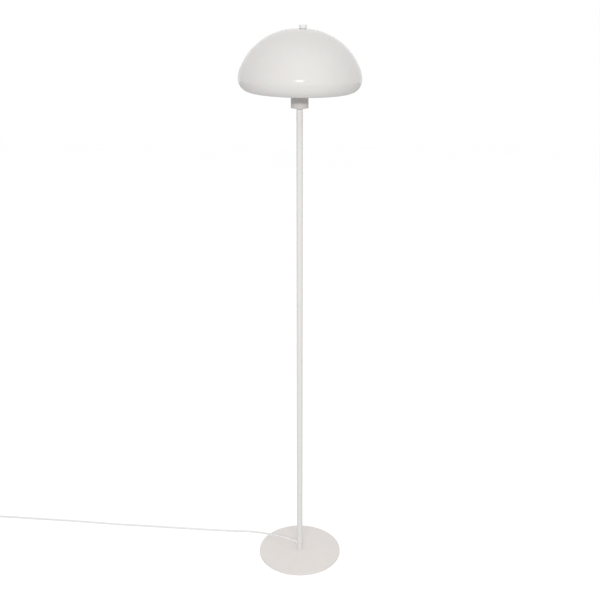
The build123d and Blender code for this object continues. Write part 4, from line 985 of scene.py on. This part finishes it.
def plug_section(x, half_width, half_height, squareness, sink=0.0):
    """A loop across the plug: round at squareness 2 and boxy above it, sunk evenly by the given depth."""
    loop = []
    for step in range(PLUG_SIDES):
        angle = 2 * pi * step / PLUG_SIDES
        c, s = cos(angle), sin(angle)
        power = 2 / squareness
        y = (half_width - sink) * abs(c) ** power * (1 if c >= 0 else -1)
        z = (half_height - sink) * abs(s) ** power * (1 if s >= 0 else -1)
        loop.append((x, PLUG_Y + y, PLUG_HEIGHT + z))
    return loop


# The tail's end and its five grooves, each as deep as those of the strain relief.
plug_loops = [
    plug_section(-1.0900, 0.0030, 0.0030, 2),
    plug_section(PLUG_TAIL_X, PLUG_TAIL_RADIUS, PLUG_TAIL_RADIUS, 2),
]
rib_outline = ((0.0008, 0), (0.0026, 0), (0.0029, GROOVE_DEPTH), (0.0038, GROOVE_DEPTH), (0.0041, 0))
for number in range(5):
    for offset, sink in rib_outline:
        along = number * PLUG_TAIL_PITCH + offset
        root = PLUG_TAIL_RADIUS + PLUG_TAIL_GAIN * along / PLUG_TAIL_LENGTH
        plug_loops.append(plug_section(PLUG_TAIL_X + along, root, root, 2, sink))
plug_loops.append(plug_section(-1.0668, 0.0050, 0.0050, 2))

# The body swells from the tail to the flat grip, with the finger grooves, and ends in a rounded face.
for step in range(PLUG_BODY_STEPS + 1):
    share = step / PLUG_BODY_STEPS
    swell = min(1.0, share / 0.56)
    swell = swell * swell * (3 - 2 * swell)
    half_width = 0.0068 + 0.0107 * swell
    half_height = 0.0058 + 0.00105 * swell
    if step in FINGER_GROOVE_STEPS:
        half_width -= FINGER_GROOVE_DEPTH
    x = PLUG_BODY_X + PLUG_BODY_LENGTH * share
    plug_loops.append(plug_section(x, half_width, half_height, 2.6 + 1.9 * swell))
for x, shrink in ((-1.0347, 0.0002), (-1.0342, 0.0006), (-1.0340, 0.0012)):
    plug_loops.append(plug_section(x, 0.0175, 0.00685, 4.5, shrink))
plug_shell = loops_mesh("moulded_plug", plug_loops, plug_pvc)
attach(plug_shell, "stand")
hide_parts("plug_body")

# Nickel on brass, with a white plastic sleeve over the first ten millimetres of each pin. Its scuffs are
# really hairlines, and are drawn at 1.1 mm so that they show.
pin_metal, tree, shader, place = start_finish("nickel_plated_pins", {})
split = add_node(tree, "ShaderNodeSeparateXYZ", {}, {}, {0: place})
bare = add_node(
    tree, "ShaderNodeMath", {"operation": "GREATER_THAN"}, {1: SLEEVED_UNTIL}, {0: split.outputs["X"]}
)
scuff = add_node(
    tree, "ShaderNodeTexNoise", {}, {"Scale": repeats(1.1), "Detail": 3.0}, {"Vector": place}
)
tree.links.new(bare.outputs[0], shader.inputs["Metallic"])
finish_surface(
    tree, shader, tones=(bare.outputs[0], "DDDDDB", "C9C6BE"),
    gloss=(scuff.outputs[0], 0.18, 0.34), relief=(scuff.outputs[0], 0.00002, 1.0),
)
coat("plug_pins", pin_metal)
